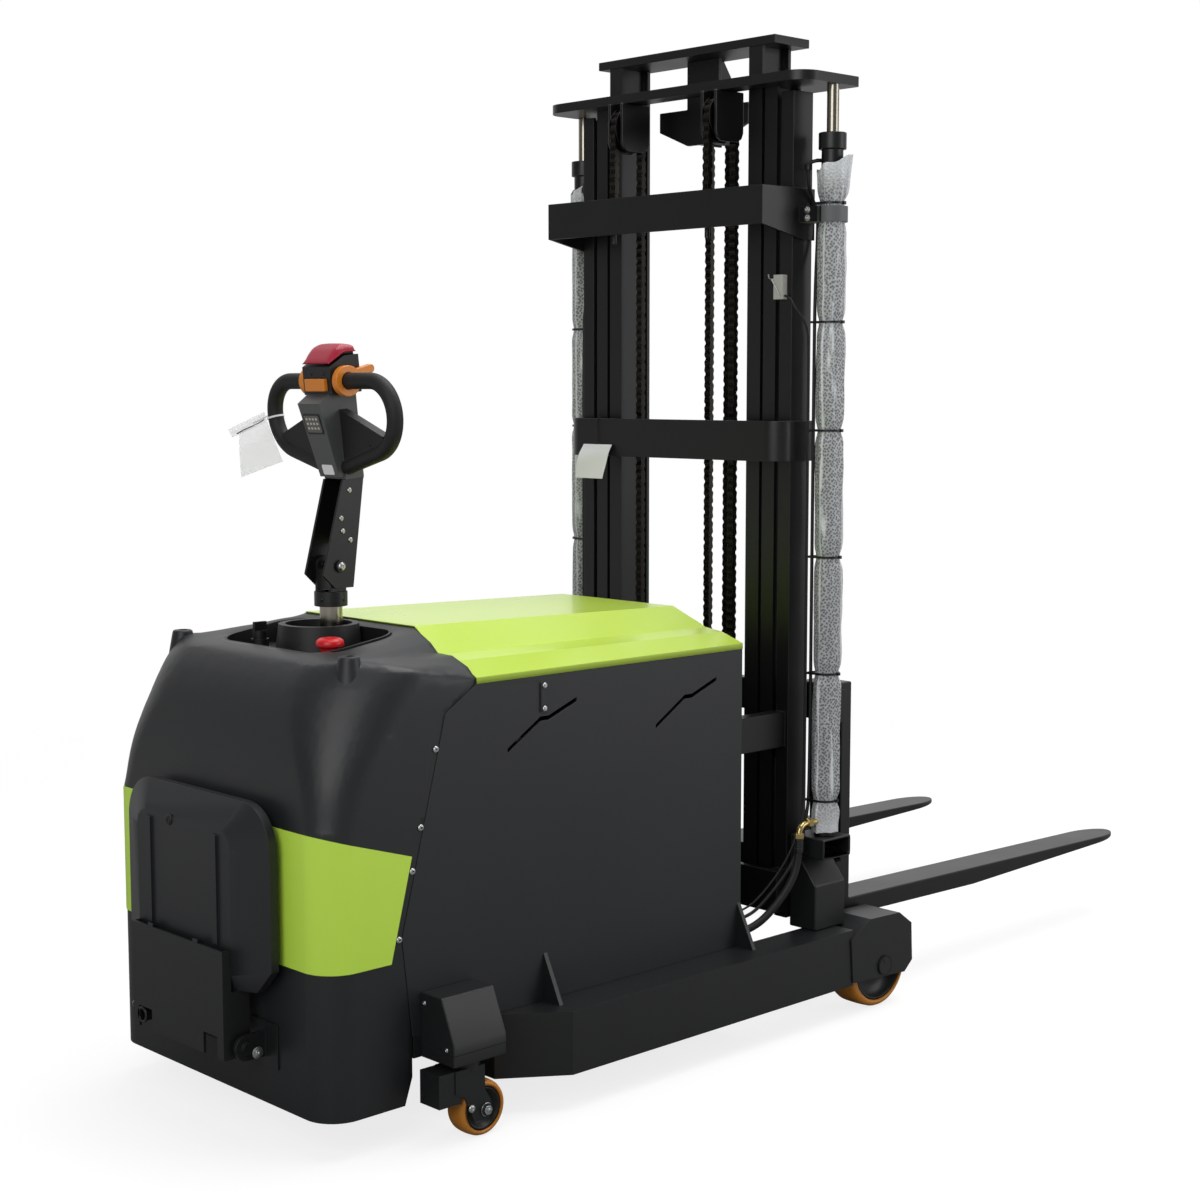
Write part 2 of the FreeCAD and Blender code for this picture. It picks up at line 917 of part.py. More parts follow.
def side_panel():
    edge = [(x, z) for x, z in seam_outline(seam_gap, cover_bottom) if x > seam_low_x and z >= frame_top]
    behind = sorted((p for p in edge if p[1] <= body_top), key=lambda p: -p[1])
    outline = [(body_front, frame_top), (body_front, body_top)] + behind
    panel = prism_xz(outline, -body_half, sheet - body_half)
    half = panel_slot_width / 2
    for start in slot_starts:
        shares = zip(slot_run_shares, slot_rise_shares)
        steps = [(start + slot_length * a, slot_base_z + slot_rise * b) for a, b in shares]
        band = [(x, z + half) for x, z in steps] + [(x, z - half) for x, z in reversed(steps)]
        panel = panel.cut(prism_xz(band, -body_half - past, sheet + past - body_half))
    outer = body_half + latch_thick
    latch = sided(latch_x - latch_half, latch_x + latch_half, body_half, outer, latch_low, latch_high)
    return joined([panel, latch])


def hood_section(x, top, inset):
    low = body_top + hood_gap
    ys = [hood_half * s - inset for s in hood_y_shares]
    zs = [low + (top - low) * s - inset for s in hood_z_shares]
    zs[0] = low - past * min(1, inset)
    zs[1] = hood_lip - inset
    right = [Vec(x, -y, z) for y, z in zip(ys, zs)]
    left = [Vec(x, y, z) for y, z in zip(reversed(ys), reversed(zs))]
    points = right + left
    return Part.makePolygon(points + [points[0]])


def hood_form(inset, rear, front):
    share = (front - hood_rear) / (body_front - hood_rear)
    top = hood_rear_top + share * (hood_front_top - hood_rear_top)
    sections = [hood_section(rear, hood_rear_top, inset), hood_section(front, top, inset)]
    return Part.makeLoft(sections, True, True)


def hood():
    nose = body_front - hood_nose
    low = body_top + hood_gap
    form = hood_form(0, hood_rear, body_front)
    drop = (hood_front_top - hood_lip) * hood_nose_drop_share
    wedge = [(nose, hood_front_top + past), (body_front + past, hood_front_top - drop)]
    wedge += [(body_front + past, hood_rear_top), (nose, hood_rear_top)]
    form = form.cut(prism_xz(wedge, -hood_half, hood_half))
    hollow = hood_form(hood_wall, hood_rear - past, nose - hood_front_wall)
    hollow = hollow.fuse(
        across(hood_rear - past, nose, hood_half - hood_wall, low - past, hood_lip - hood_wall)
    )
    reach = body_front - hood_front_wall
    hollow = hollow.fuse(
        across(nose - past, reach, hood_half - hood_wall, low - past, hood_lip - hood_wall)
    )
    shapes = [form.cut(hollow)]
    x = body_front + hinge_ahead
    for y0, y1 in ((-hinge_half, -hinge_mid - turn_gap), (hinge_mid + turn_gap, hinge_half)):
        knuckle = rod_y(x, body_top, hinge_r, y0, y1)
        leaf = block(body_front, body_front + hinge_leaf, y0, y1, body_top, hinge_leaf_top)
        bore = rod_y(x, body_top, hinge_pin_r + run_gap, y0 - past, y1 + past)
        shapes.append(knuckle.fuse(leaf).cut(bore))
    return joined(shapes)


def battery_pack():
    case = across(battery_rear, battery_front, battery_half, frame_top, battery_top - lid_thick)
    wide = battery_half + lid_over
    lid = across(
        battery_rear - lid_over, battery_front + lid_over, wide, battery_top - lid_thick, battery_top
    )
    return joined([case, lid])


def hydraulic_unit():
    tank = sided(tank_rear, tank_front, tank_inner, tank_side, frame_top, tank_top)
    pump = rod_z((tank_rear + tank_front) / 2, -(tank_inner + tank_side) / 2, pump_r, tank_top, pump_top)
    controller = block(
        tank_rear, tank_rear + controller_depth, tank_inner, tank_side, frame_top, controller_top
    )
    return Part.makeCompound([joined([tank, pump]), controller])


def counterweight():
    return across(weight_rear, weight_front, weight_half, weight_bottom, plate_bottom)


def outrigger():
    plan = [
        (leg_rear_x, -leg_inner),
        (leg_rear_x, -leg_rear_y),
        (leg_bend_x, -leg_outer),
        (leg_front_x, -leg_outer),
        (leg_front_x, -leg_inner),
    ]
    shapes = [prism_xy(plan, frame_bottom, frame_top)]
    for x in (gusset_rear_x, gusset_front_x):
        brace = [(-leg_inner, frame_top), (-leg_inner - gusset_reach, frame_top), (-leg_inner, gusset_top)]
        shapes.append(prism_yz(brace, x, x + gusset_thick))
    shares = (housing_x_shares, housing_z_shares)
    side = shared_outline(housing_rear, housing_length, housing_low, housing_height, *shares)
    shapes.append(prism_xz(side, -housing_outer, housing_plate - housing_outer))
    inner = prism_xz(side, -housing_inner - housing_inner_plate, -housing_inner)
    low = frame_bottom - cross_depth
    shapes.append(
        inner.cut(sided(housing_rear - past, leg_front_x, housing_inner, leg_inner, low, frame_top))
    )
    roof = side[1:5]
    under = [(x, z - housing_roof) for x, z in reversed(roof)]
    shapes.append(prism_xz(roof + under, -housing_outer, -housing_inner))
    shapes.append(rod_y(load_axle_x, load_wheel_r, load_axle_r, -housing_outer, -housing_inner))
    shapes.append(
        rod_y(load_axle_x, load_wheel_r, load_cap_r, -housing_outer - load_cap_thick, -housing_outer)
    )
    leg = joined(shapes)
    clear = load_wheel_r + load_side_gap
    bay = rod_y(
        load_axle_x, load_wheel_r, clear, housing_plate - housing_outer, -housing_inner - housing_inner_plate
    )
    axle = rod_y(load_axle_x, load_wheel_r, load_axle_r, -housing_outer, -housing_inner)
    return leg.cut(bay).fuse(axle).removeSplitter()


def wheel(r, width, hub_r, bore_r, recess, edge):
    """A wheel on the Y axis through the origin: tyre, then hub with its bore and dished sides."""
    half = width / 2
    tread = rod_y(0, 0, r, -half, half)
    rims = [e for e in tread.Edges if e.Closed]
    tread = tread.makeFillet(edge, rims)
    tyre = tread.cut(rod_y(0, 0, hub_r, -half - past, half + past))
    hub = rod_y(0, 0, hub_r, -half, half)
    boss_r = bore_r * 2
    for y0, y1 in ((-half - past, recess - half), (half - recess, half + past)):
        dish = rod_y(0, 0, hub_r - recess, y0, y1).cut(rod_y(0, 0, boss_r, y0, y1))
        hub = hub.cut(dish)
    hub = hub.cut(rod_y(0, 0, bore_r, -half - past, half + past))
    return tyre, hub


def placed(shape, x, y, z):
    copy = shape.copy()
    copy.translate(Vec(x, y, z))
    return copy


def caster_mount():
    face = [
        (-body_half, mount_plate_top),
        (-mount_outer, mount_plate_top),
        (-mount_outer, mount_face_top),
        (-mount_top_outer, mount_top),
        (-body_half, mount_top),
    ]
    cover = prism_yz(face, mount_rear, mount_front)
    plate = sided(mount_rear, mount_front, body_half, mount_outer, mount_plate_low, mount_plate_top)
    return joined([cover, plate])


def caster_fork():
    top = mount_plate_low - turn_gap
    inner = caster_width / 2 + caster_cheek_gap
    outer = inner + caster_cheek
    outline = shared_outline(
        cheek_rear, cheek_length, cheek_low, cheek_height, cheek_x_shares, cheek_z_shares
    )
    shapes = [rod_z(0, 0, caster_crown_r, caster_yoke_low, top)]
    for y0, y1 in ((-outer, -inner), (inner, outer)):
        shapes.append(prism_xz(outline, y0, y1))
    front = cheek_rear + cheek_length * cheek_x_shares[1]
    shapes.append(across(cheek_rear, front, outer, caster_yoke_low, caster_crown_low))
    top_low = caster_crown_low
    shapes.append(
        across(caster_block_rear, caster_block_front, caster_block_half, caster_block_low, top_low)
    )
    head = outer + caster_head_thick
    shapes.append(rod_y(caster_trail, caster_r, caster_axle_r, -outer, outer))
    shapes.append(rod_y(caster_trail, caster_r, caster_head_r, -head, -outer))
    shapes.append(rod_y(caster_trail, caster_r, caster_head_r, outer, head))
    return placed(joined(shapes), caster_x, -caster_y, 0)


def drive_unit():
    low = plate_top + turn_gap
    leg = block(
        -drive_leg_half, drive_leg_half, drive_leg_inner, drive_leg_outer, drive_leg_low, drive_neck_low
    )
    neck = rod_z(0, 0, drive_neck_r, drive_neck_low, low)
    flange = rod_z(0, 0, drive_flange_r, low, low + drive_flange_thick)
    motor = rod_z(0, 0, motor_r, low + drive_flange_thick, motor_top)
    axle = rod_y(0, drive_r, drive_axle_r, -drive_width / 2, drive_leg_inner)
    return joined([leg, neck, flange, motor, axle])


def steering_post():
    post = rod_z(0, 0, post_r, motor_top, collar_low)
    collar = rod_z(0, 0, collar_r, collar_low, collar_top)
    shapes = [post, collar]
    half = fork_cheek_half
    shapes += both(sided(-half, half, fork_cheek_inner, fork_cheek_outer, collar_top, tilt_z))
    for y0, y1 in ((-fork_cheek_outer, -fork_cheek_inner), (fork_cheek_inner, fork_cheek_outer)):
        shapes.append(rod_y(0, tilt_z, fork_cheek_half, y0, y1))
    head = arm_outer + tilt_head_thick
    shapes.append(rod_y(0, tilt_z, tilt_pin_r, -head, head))
    for y0, y1 in ((-head, -arm_outer - turn_gap), (arm_outer + turn_gap, head)):
        shapes.append(rod_y(0, tilt_z, tilt_head_r, y0, y1))
    return joined(shapes)


def tiller_arm():
    shapes = []
    low = tilt_z - arm_foot_drop
    outline = [
        (arm_foot_rear, low + arm_heel_rise),
        (arm_heel_x, low),
        (arm_foot_front, low),
        (arm_top_x + arm_top_half, arm_top_z),
        (arm_top_x - arm_top_half, arm_top_z),
    ]
    for y0, y1 in ((-arm_outer, -arm_inner), (arm_inner, arm_outer)):
        side = prism_xz(outline, y0, y1)
        shapes.append(side.cut(rod_y(0, tilt_z, tilt_pin_r + run_gap, y0 - past, y1 + past)))
    run = (arm_web_low - low) / (arm_top_z - low)
    low_x = arm_foot_front + run * (arm_top_x + arm_top_half - arm_foot_front)
    web = [
        (low_x - arm_web_thick, arm_web_low),
        (low_x, arm_web_low),
        (arm_top_x + arm_top_half, arm_top_z),
        (arm_top_x + arm_top_half - arm_web_thick, arm_top_z),
    ]
    shapes.append(prism_xz(web, -arm_inner, arm_inner))
    rear = arm_top_x - arm_top_half
    front = arm_top_x + arm_top_half
    shapes.append(across(rear, front, arm_outer, arm_top_z - arm_cap, arm_top_z))
    seat = leaned(across(face_top_rear, spine_front + arm_top_half, crown_half, 0, spine_top))
    return joined(shapes).cut(seat)


def leaned(shape):
    """Moves a shape drawn on the tiller head's own axes to its place on the arm."""
    copy = shape.copy()
    copy.rotate(Vec(0, 0, 0), Vec(0, 1, 0), -head_lean)
    copy.translate(Vec(head_foot_x, 0, head_foot_z))
    return copy


def bend(centre_y, centre_z, r, start, end):
    """An arc of the handle's centre line, in degrees, in the plane of the handle."""
    at = lambda a: Vec(
        grip_x, centre_y + r * math.cos(math.radians(a)), centre_z + r * math.sin(math.radians(a))
    )
    return Part.Arc(at(start), at((start + end) / 2), at(end)).toShape(), at(end)


def grip_tube():
    """One handle loop, right side, in the head's own axes."""
    root = Vec(grip_x, -paddle_outer - paddle_gap, grip_top)
    shoulder = Vec(grip_x, grip_upper_bend - grip_out, grip_top)
    mid_z = grip_top - grip_upper_bend
    upper, side = bend(grip_upper_bend - grip_out, mid_z, grip_upper_bend, 90, 180)
    lower, turned = bend(grip_lower_bend - grip_out, mid_z, grip_lower_bend, 180, 180 + grip_lower_turn)
    fall = math.tan(math.radians(90 - grip_lower_turn))
    foot = Vec(grip_x, -grip_foot, turned.z - fall * (-grip_foot - turned.y))
    path = Part.Wire([Part.makeLine(root, shoulder), upper, lower, Part.makeLine(turned, foot)])
    ring = Part.Wire([Part.makeCircle(grip_r, root, Vec(0, -1, 0))])
    loop = path.makePipeShell([ring], True, True)
    return joined([loop, rod_y(grip_x, grip_top, grip_r, root.y, past - crown_half)])


def face_panel():
    """The wedge on the operator's side of the head, wider at its top."""
    def level(z, rear, half):
        corners = [Vec(rear, -half, z), Vec(0, -half, z), Vec(0, half, z), Vec(rear, half, z)]
        return Part.makePolygon(corners + [corners[0]])
    low = level(face_low, face_foot_rear, face_low_half)
    high = level(face_shelf, face_top_rear, face_high_half)
    ledge = level(face_top, crown_rear, face_high_half)
    return joined([Part.makeLoft([low, high], True, True), Part.makeLoft([high, ledge], True, True)])


def crown():
    outline = [
        (crown_rear, crown_low),
        (crown_front, crown_low),
        (crown_front, crown_top),
        (crown_ridge_x, crown_top),
        (crown_rear, crown_rear_top),
    ]
    return prism_xz(outline, -crown_half, crown_half)


def tiller_head():
    shapes = [across(spine_rear, spine_front, spine_half, 0, spine_top), crown(), face_panel()]
    wing = [
        (-spine_half, wing_low),
        (-wing_tip, wing_tip_low),
        (-wing_tip, wing_tip_high),
        (-spine_half, wing_top),
    ]
    for part in both(prism_yz(wing, grip_x - wing_half, grip_x + wing_half)) + both(grip_tube()):
        shapes.append(part)
    head = joined(shapes)
    head = head.cut(
        rod_z(0, 0, belly_stem_r + slide_gap, belly_stem_low - belly_stroke_room, crown_top + past)
    )
    deep = crown_rear + horn_deep + horn_room
    slot = across(crown_rear - past, deep, horn_half + horn_gap, horn_low - horn_gap, horn_high + horn_gap)
    return head.cut(slot).removeSplitter()


def throttle_paddles():
    shapes = []
    for y0, y1 in ((-paddle_outer, -paddle_inner), (paddle_inner, paddle_outer)):
        hub = rod_y(grip_x, grip_top, paddle_hub_r, y0, y1)
        tip_x = grip_x + paddle_reach
        tip_z = grip_top + paddle_rise
        tip = rod_y(tip_x, tip_z, paddle_lobe_r, y0, y1)
        root = paddle_hub_r * paddle_root_share
        arm = [
            (grip_x, grip_top + paddle_hub_r),
            (grip_x, grip_top - root),
            (tip_x, tip_z - paddle_lobe_r),
            (tip_x, tip_z + paddle_lobe_r),
            (grip_x + root, grip_top + root),
        ]
        paddle = joined([hub, tip, prism_xz(arm, y0, y1)])
        shapes.append(paddle.cut(rod_y(grip_x, grip_top, grip_r + slide_gap, y0 - past, y1 + past)))
    return Part.makeCompound(shapes)


def belly_button():
    rear = crown_rear
    slope = (crown_top - crown_rear_top) / (crown_ridge_x - crown_rear)
    outline = [
        (rear, belly_low),
        (crown_ridge_x, belly_low + slope * (crown_ridge_x - rear)),
        (belly_front, belly_low + slope * (crown_ridge_x - rear)),
        (belly_front, belly_front_top),
        (crown_ridge_x, belly_top),
        (rear / 2, belly_rear_top),
        (rear, belly_low + belly_rim),
    ]
    cap = prism_xz(outline, -belly_half, belly_half)
    wide = belly_half - belly_shoulder
    arch = [
        (-belly_half, belly_low - past),
        (belly_half, belly_low - past),
        (belly_half, belly_front_top - belly_shoulder),
        (wide, belly_top - belly_rim / 2),
        (0, belly_top),
        (-wide, belly_top - belly_rim / 2),
        (-belly_half, belly_front_top - belly_shoulder),
    ]
    cap = cap.common(prism_yz(arch, rear - past, belly_front + past))
    stem = rod_z(0, 0, belly_stem_r, belly_stem_low, belly_front_top - belly_shoulder)
    return joined([cap, stem])


def horn_button():
    return across(crown_rear - horn_proud, crown_rear + horn_deep, horn_half, horn_low, horn_high)


def platform_bracket():
    shapes = []
    outer = lug_inner + lug_thick
    for lug in both(sided(pivot_x, cover_rear, lug_inner, outer, pivot_z - lug_r, pivot_z + lug_r)):
        shapes.append(lug)
    middle = (lug_inner + outer) / 2
    rear = cover_rear - lug_back_thick
    near = middle - lug_back_half
    far = middle + lug_back_half
    shapes += both(sided(rear, cover_rear, near, far, lug_back_low, lug_back_high))
    for y0, y1 in ((-outer, -lug_inner), (lug_inner, outer)):
        shapes.append(rod_y(pivot_x, pivot_z, lug_r, y0, y1))
    shapes.append(rod_y(pivot_x, pivot_z, pivot_r, -outer, outer))
    shapes.append(rod_y(pivot_x, pivot_z, pivot_head_r, -outer - pivot_head, -outer))
    shapes.append(rod_y(pivot_x, pivot_z, pivot_head_r, outer, outer + pivot_head))
    return joined(shapes)


def pad_outline(x, side, top):
    """The pad seen from the rear at one depth: round above, cut off at both lower corners."""
    half = pad_half - side
    high = pad_high - top
    r = pad_corner - top
    cut = pad_chamfer - side * pad_chamfer / pad_half

    def at(turn, sign):
        a = math.radians(turn)
        return Vec(x, sign * (half - r + r * math.cos(a)), high - r + r * math.sin(a))

    low_left = Vec(x, cut - half, pad_low)
    low_right = Vec(x, half - cut, pad_low)
    right = Vec(x, half, pad_low + cut)
    left = Vec(x, -half, pad_low + cut)
    edges = [Part.makeLine(low_left, low_right), Part.makeLine(low_right, right)]
    edges.append(Part.makeLine(right, at(0, 1)))
    edges.append(Part.Arc(at(0, 1), at(45, 1), at(90, 1)).toShape())
    edges.append(Part.makeLine(at(90, 1), at(90, -1)))
    edges.append(Part.Arc(at(90, -1), at(45, -1), at(0, -1)).toShape())
    edges += [Part.makeLine(at(0, -1), left), Part.makeLine(left, low_left)]
    return Part.Wire(edges)


def platform_pad():
    front = pad_rear + pad_thick
    step = front - pad_border_thick
    base = pad_outline(step, 0, 0)
    slab = Part.Face(base).extrude(Vec(pad_border_thick, 0, 0))
    shapes = [slab, Part.makeLoft([base, pad_outline(pad_rear, pad_border, pad_top_border)], True, True)]
    shapes += both(
        sided(pad_rear - rib_proud, pad_rear, rib_y - rib_half, rib_y + rib_half, rib_low, rib_high)
    )
    return joined(shapes)


def platform_plate():
    web = across(channel_rear, channel_rear + channel_thick, channel_half, channel_low, channel_high)
    front = channel_rear + channel_thick + past
    web = web.cut(both(sided(channel_rear - past, front, notch_inner, notch_outer, 0, notch_top)))
    shapes = [web]
    cheek = sided(
        channel_rear, pad_rear, channel_half - channel_thick, channel_half, channel_low, channel_high
    )
    ear = sided(
        pad_rear, flange_front, channel_half - channel_thick, channel_half, channel_low, pad_low - slide_gap
    )
    shapes += both(cheek) + both(ear)
    whole = joined(shapes)
    return whole.cut(rod_y(pivot_x, pivot_z, pivot_r + run_gap, -channel_half - past, channel_half + past))


def channel_rail(depth, low, high, span_in, span_out, web_in, web_out):
    """A right-hand mast rail: two flanges front and rear, joined by one web."""
    front = rail_rear + depth
    rear_flange = sided(rail_rear, rail_rear + rail_flange, span_in, span_out, low, high)
    front_flange = sided(front - rail_flange, front, span_in, span_out, low, high)
    web = sided(rail_rear, front, web_in, web_out, low, high)
    return joined([rear_flange, front_flange, web])


def rail_rollers(depth, heights, stub_start, roller_in, roller_out):
    """Rollers on the right side that run between the flanges of the next stage out."""
    x = rail_rear + depth / 2
    r = depth / 2 - rail_flange - slide_gap
    shapes = []
    for z in heights:
        shapes.append(rod_y(x, z, r, -roller_out, -roller_in))
        shapes.append(rod_y(x, z, stub_r, -roller_in, -stub_start))
    return shapes


def outer_mast():
    rail = channel_rail(
        outer_depth, outer_low, outer_top, outer_in, outer_out, outer_out - outer_web, outer_out
    )
    shapes = both(rail)
    front = lower_cross_rear + lower_cross_thick
    shapes.append(across(lower_cross_rear, front, outer_out, lower_cross_low, lower_cross_high))
    shapes += both(sided(front, rail_rear, outer_in, outer_out, lower_cross_low, lower_cross_high))
    shapes += both(sided(body_front, rail_rear, tie_inner, tie_outer, tie_low, tie_high))
    return joined(shapes)


def upper_crossmember():
    outer = outer_out + upper_plate
    front = rail_rear + outer_depth
    shapes = [across(upper_rear, upper_rear + upper_plate, outer, upper_low, upper_high)]
    side = [
        (upper_rear, upper_low),
        (upper_side_turn, upper_side_low),
        (front, upper_side_low),
        (front, upper_high),
        (upper_rear, upper_high),
    ]
    shapes += both(prism_xz(side, -outer, -outer_out))
    inner_x = upper_rear + upper_plate
    top = lift_anchor_z
    lug = sided(inner_x, anchor_front, lift_y - anchor_half, lift_y + anchor_half, top - anchor_thick, top)
    bolt = rod_z(lift_x - lift_pitch_r, -lift_y, anchor_bolt_r, anchor_bolt_low, top - anchor_thick)
    shapes += both(lug) + both(bolt)
    strap_r = sleeve_r + clamp_thick
    strap = rod_z(cylinder_x, -cylinder_y, strap_r, clamp_low, clamp_high)
    tab = sided(clamp_bolt_x - clamp_pad / 2, cylinder_x, outer, cylinder_y, clamp_low, clamp_high)
    hole = rod_z(cylinder_x, -cylinder_y, sleeve_r, clamp_low - past, clamp_high + past)
    clamp = strap.fuse(tab).cut(hole)
    far = cylinder_y + strap_r
    clamp = clamp.common(
        sided(clamp_bolt_x - clamp_pad, cylinder_x + strap_r, outer, far, clamp_low, clamp_high)
    )
    shapes += both(clamp)
    return joined(shapes)


def mid_crossmember():
    outer = outer_out + upper_plate
    front = rail_rear + outer_depth
    whole = across(mid_cross_rear, front, outer, mid_cross_low, mid_cross_high)
    rear = [e for e in whole.Edges if upright(e) and e.CenterOfMass.x < mid_cross_rear + past]
    whole = whole.makeFillet(mid_cross_corner, rear)
    hollow = across(
        mid_cross_rear + upper_plate, front + past, outer_out, mid_cross_low - past, mid_cross_high + past
    )
    rear = [e for e in hollow.Edges if upright(e) and e.CenterOfMass.x < mid_cross_rear + upper_plate + past]
    hollow = hollow.makeFillet(mid_cross_corner - upper_plate, rear)
    return whole.cut(hollow)


def mast_foot():
    bracket = [
        (-outer_out, frame_top),
        (-outer_out, stub_low),
        (-foot_shelf, stub_low),
        (-foot_side, foot_side_high),
        (-foot_side, frame_top),
    ]
    foot = prism_yz(bracket, foot_rear, foot_front)
    stub = sided(stub_rear, stub_front, outer_out, stub_end, stub_low, stub_high)
    bore = sided(
        stub_rear + stub_wall, stub_front - stub_wall, outer_out + stub_wall, stub_end + past,
        stub_low + stub_wall, stub_high - stub_wall
    )
    return joined([foot, stub.cut(bore)])


def lift_cylinder():
    tube = rod_z(cylinder_x, -cylinder_y, cylinder_r, stub_high, cylinder_top)
    cap = rod_z(cylinder_x, -cylinder_y, cap_r, cylinder_top, cap_top)
    whole = joined([tube, cap])
    return whole.cut(rod_z(cylinder_x, -cylinder_y, rod_r + slide_gap, bore_low, cap_top + past))


def cylinder_sleeve():
    body = rod_z(cylinder_x, -cylinder_y, sleeve_r, sleeve_low + sleeve_neck, sleeve_high)
    neck = Part.makeCone(
        sleeve_neck_r, sleeve_r, sleeve_neck, Vec(cylinder_x, -cylinder_y, sleeve_low)
    )
    return joined([body, neck]).cut(
        rod_z(cylinder_x, -cylinder_y, cylinder_r, sleeve_low - past, sleeve_high + past)
    )


def hydraulic_line():
    """Brass elbow on the cylinder's foot and the hose from it to the body's front wall."""
    turn_x = cylinder_x - elbow_reach
    start = Vec(cylinder_x - cylinder_r / 2, -cylinder_y, line_z)
    corner = Vec(turn_x + elbow_turn, -cylinder_y, line_z)
    bent = Vec(turn_x, -cylinder_y, line_z - elbow_turn)
    low = Vec(turn_x, -cylinder_y, line_z - elbow_drop)
    slack = elbow_turn * (1 - math.sqrt(0.5))
    arc = Part.Arc(corner, Vec(turn_x + slack, -cylinder_y, line_z - slack), bent).toShape()
    path = Part.Wire([Part.makeLine(start, corner), arc, Part.makeLine(bent, low)])
    ring = Part.Wire([Part.makeCircle(elbow_r, start, Vec(-1, 0, 0))])
    pipe = path.makePipeShell([ring], True, True)
    nut = rod_z(turn_x, -cylinder_y, elbow_nut_r, low.z, low.z + elbow_nut_length)
    union = rod_x(-cylinder_y, line_z, elbow_nut_r, corner.x, cylinder_x - cylinder_r / 2)
    end = Vec(body_front, -hose_end_y, hose_end_z)
    curve = Part.BSplineCurve()
    curve.interpolate(
        Points=[low, end], InitialTangent=Vec(0, 0, -hose_lead), FinalTangent=Vec(-hose_lead, 0, 0)
    )
    loop = Part.Wire([curve.toShape()])
    circle = Part.Wire([Part.makeCircle(hose_r, low, Vec(0, 0, -1))])
    hose = loop.makePipeShell([circle], True, True)
    whole = joined([pipe, nut, union, hose])
    return whole.cut(rod_z(cylinder_x, -cylinder_y, cylinder_r, stub_high, cylinder_top))


def limit_switch():
    case = sided(limit_x, rail_rear, limit_inner, limit_outer, limit_low, limit_high)
    z = limit_high - lever_out
    lever = rod_y(limit_x + lever_out, z, lever_r, -limit_inner, lever_reach - limit_inner)
    return joined([case, lever])


def mid_mast():
    shapes = both(channel_rail(mid_depth, mid_low, wide_low, mid_in, mid_out, mid_web_in, mid_web_out))
    for part in rail_rollers(outer_depth, roller_heights, mid_web_out, outer_roller_in, outer_roller_out):
        shapes += both(part)
    front = mid_tie_rear + mid_tie_thick
    shapes.append(across(mid_tie_rear, front, mid_out, mid_tie_low, mid_tie_high))
    shapes += both(sided(front, rail_rear, mid_in, mid_out, mid_tie_low, mid_tie_high))
    shapes.append(across(mid_tie_rear, front, lug_half, lug_low, mid_tie_low))
    shapes.append(across(front, lug_reach_x, lug_half, lug_low, lug_high))
    return joined(shapes)


def mid_top_plate():
    plate = round_plate(
        wide_rear, wide_front, wide_half, wide_low, wide_low + wide_thick, wide_corner, wide_front_corner
    )
    plate = plate.cut(
        across(notch_rear, wide_front + past, notch_half, wide_low - past, wide_low + wide_thick + past)
    )
    shapes = [plate]
    inner = sheave_half + cheek_gap
    for y0 in (lift_y - inner - cheek_plate, lift_y + inner):
        cheek = sided(
            lift_x - lift_cheek_half, lift_x + lift_cheek_half, y0, y0 + cheek_plate, lift_cheek_low, wide_low
        )
        shapes += both(cheek)
    far = inner + cheek_plate
    pin = rod_y(lift_x, lift_axis_z, sheave_bore_r - run_gap, -lift_y - far, far - lift_y)
    shapes += both(pin)
    return joined(shapes)


def sheave(outer_r, pitch_r):
    whole = rod_y(0, 0, outer_r, -sheave_half, sheave_half)
    groove = rod_y(0, 0, outer_r + past, -link_half_y - slide_gap, link_half_y + slide_gap)
    root = rod_y(0, 0, pitch_r - link_half_x - slide_gap, -sheave_half, sheave_half)
    whole = whole.cut(groove.cut(root))
    return whole.cut(rod_y(0, 0, sheave_bore_r, -sheave_half - past, sheave_half + past))


def chain_arc(x, y, z, pitch_r):
    """Half turn of chain over the top of a sheave."""
    ring = rod_y(x, z, pitch_r + link_half_x, y - link_half_y, y + link_half_y)
    ring = ring.cut(rod_y(x, z, pitch_r - link_half_x, y - link_half_y - past, y + link_half_y + past))
    span = pitch_r + link_half_x + past
    return ring.common(block(x - span, x + span, y - link_half_y, y + link_half_y, z, z + span))


def chain_run(x, y, z0, z1):
    return block(x - link_half_x, x + link_half_x, y - link_half_y, y + link_half_y, z0, z1)


def lift_rod():
    return rod_z(cylinder_x, -cylinder_y, rod_r, rod_low, wide_low)


def inner_mast():
    shapes = both(
        channel_rail(inner_depth, inner_low, narrow_low, inner_in, inner_out, inner_web_in, inner_web_out)
    )
    for part in rail_rollers(mid_depth, roller_heights, inner_web_out, inner_roller_in, inner_roller_out):
        shapes += both(part)
    shapes.append(across(inner_tie_rear, inner_tie_front, inner_in, inner_tie_low, inner_tie_high))
    return joined(shapes)


def inner_top_plate():
    plate = across(narrow_rear, narrow_front, narrow_half, narrow_low, narrow_low + narrow_thick)
    inside = hanger_rear + hanger_wall
    wall = across(hanger_rear, inside, hanger_half, hanger_low, narrow_low)
    shapes = [plate, wall]
    near = sheave_half + cheek_gap
    side = [
        (inside, hanger_low),
        (hanger_front, hanger_low),
        (hanger_front, hanger_front_top),
        (hanger_roof_x, narrow_low),
        (inside, narrow_low),
    ]
    shapes += both(prism_xz(side, -near - cheek_plate, -near))
    drop = ear_high - (ear_high - hanger_low) * ear_low_share
    ear = [(-hanger_half, hanger_low), (-hanger_half, ear_high), (-ear_half, ear_high), (-ear_half, drop)]
    shapes += both(prism_yz(ear, hanger_rear, inside))
    shapes.append(
        rod_y(load_chain_x, load_axis_z, sheave_bore_r - run_gap, -near - cheek_plate, near + cheek_plate)
    )
    return joined(shapes)


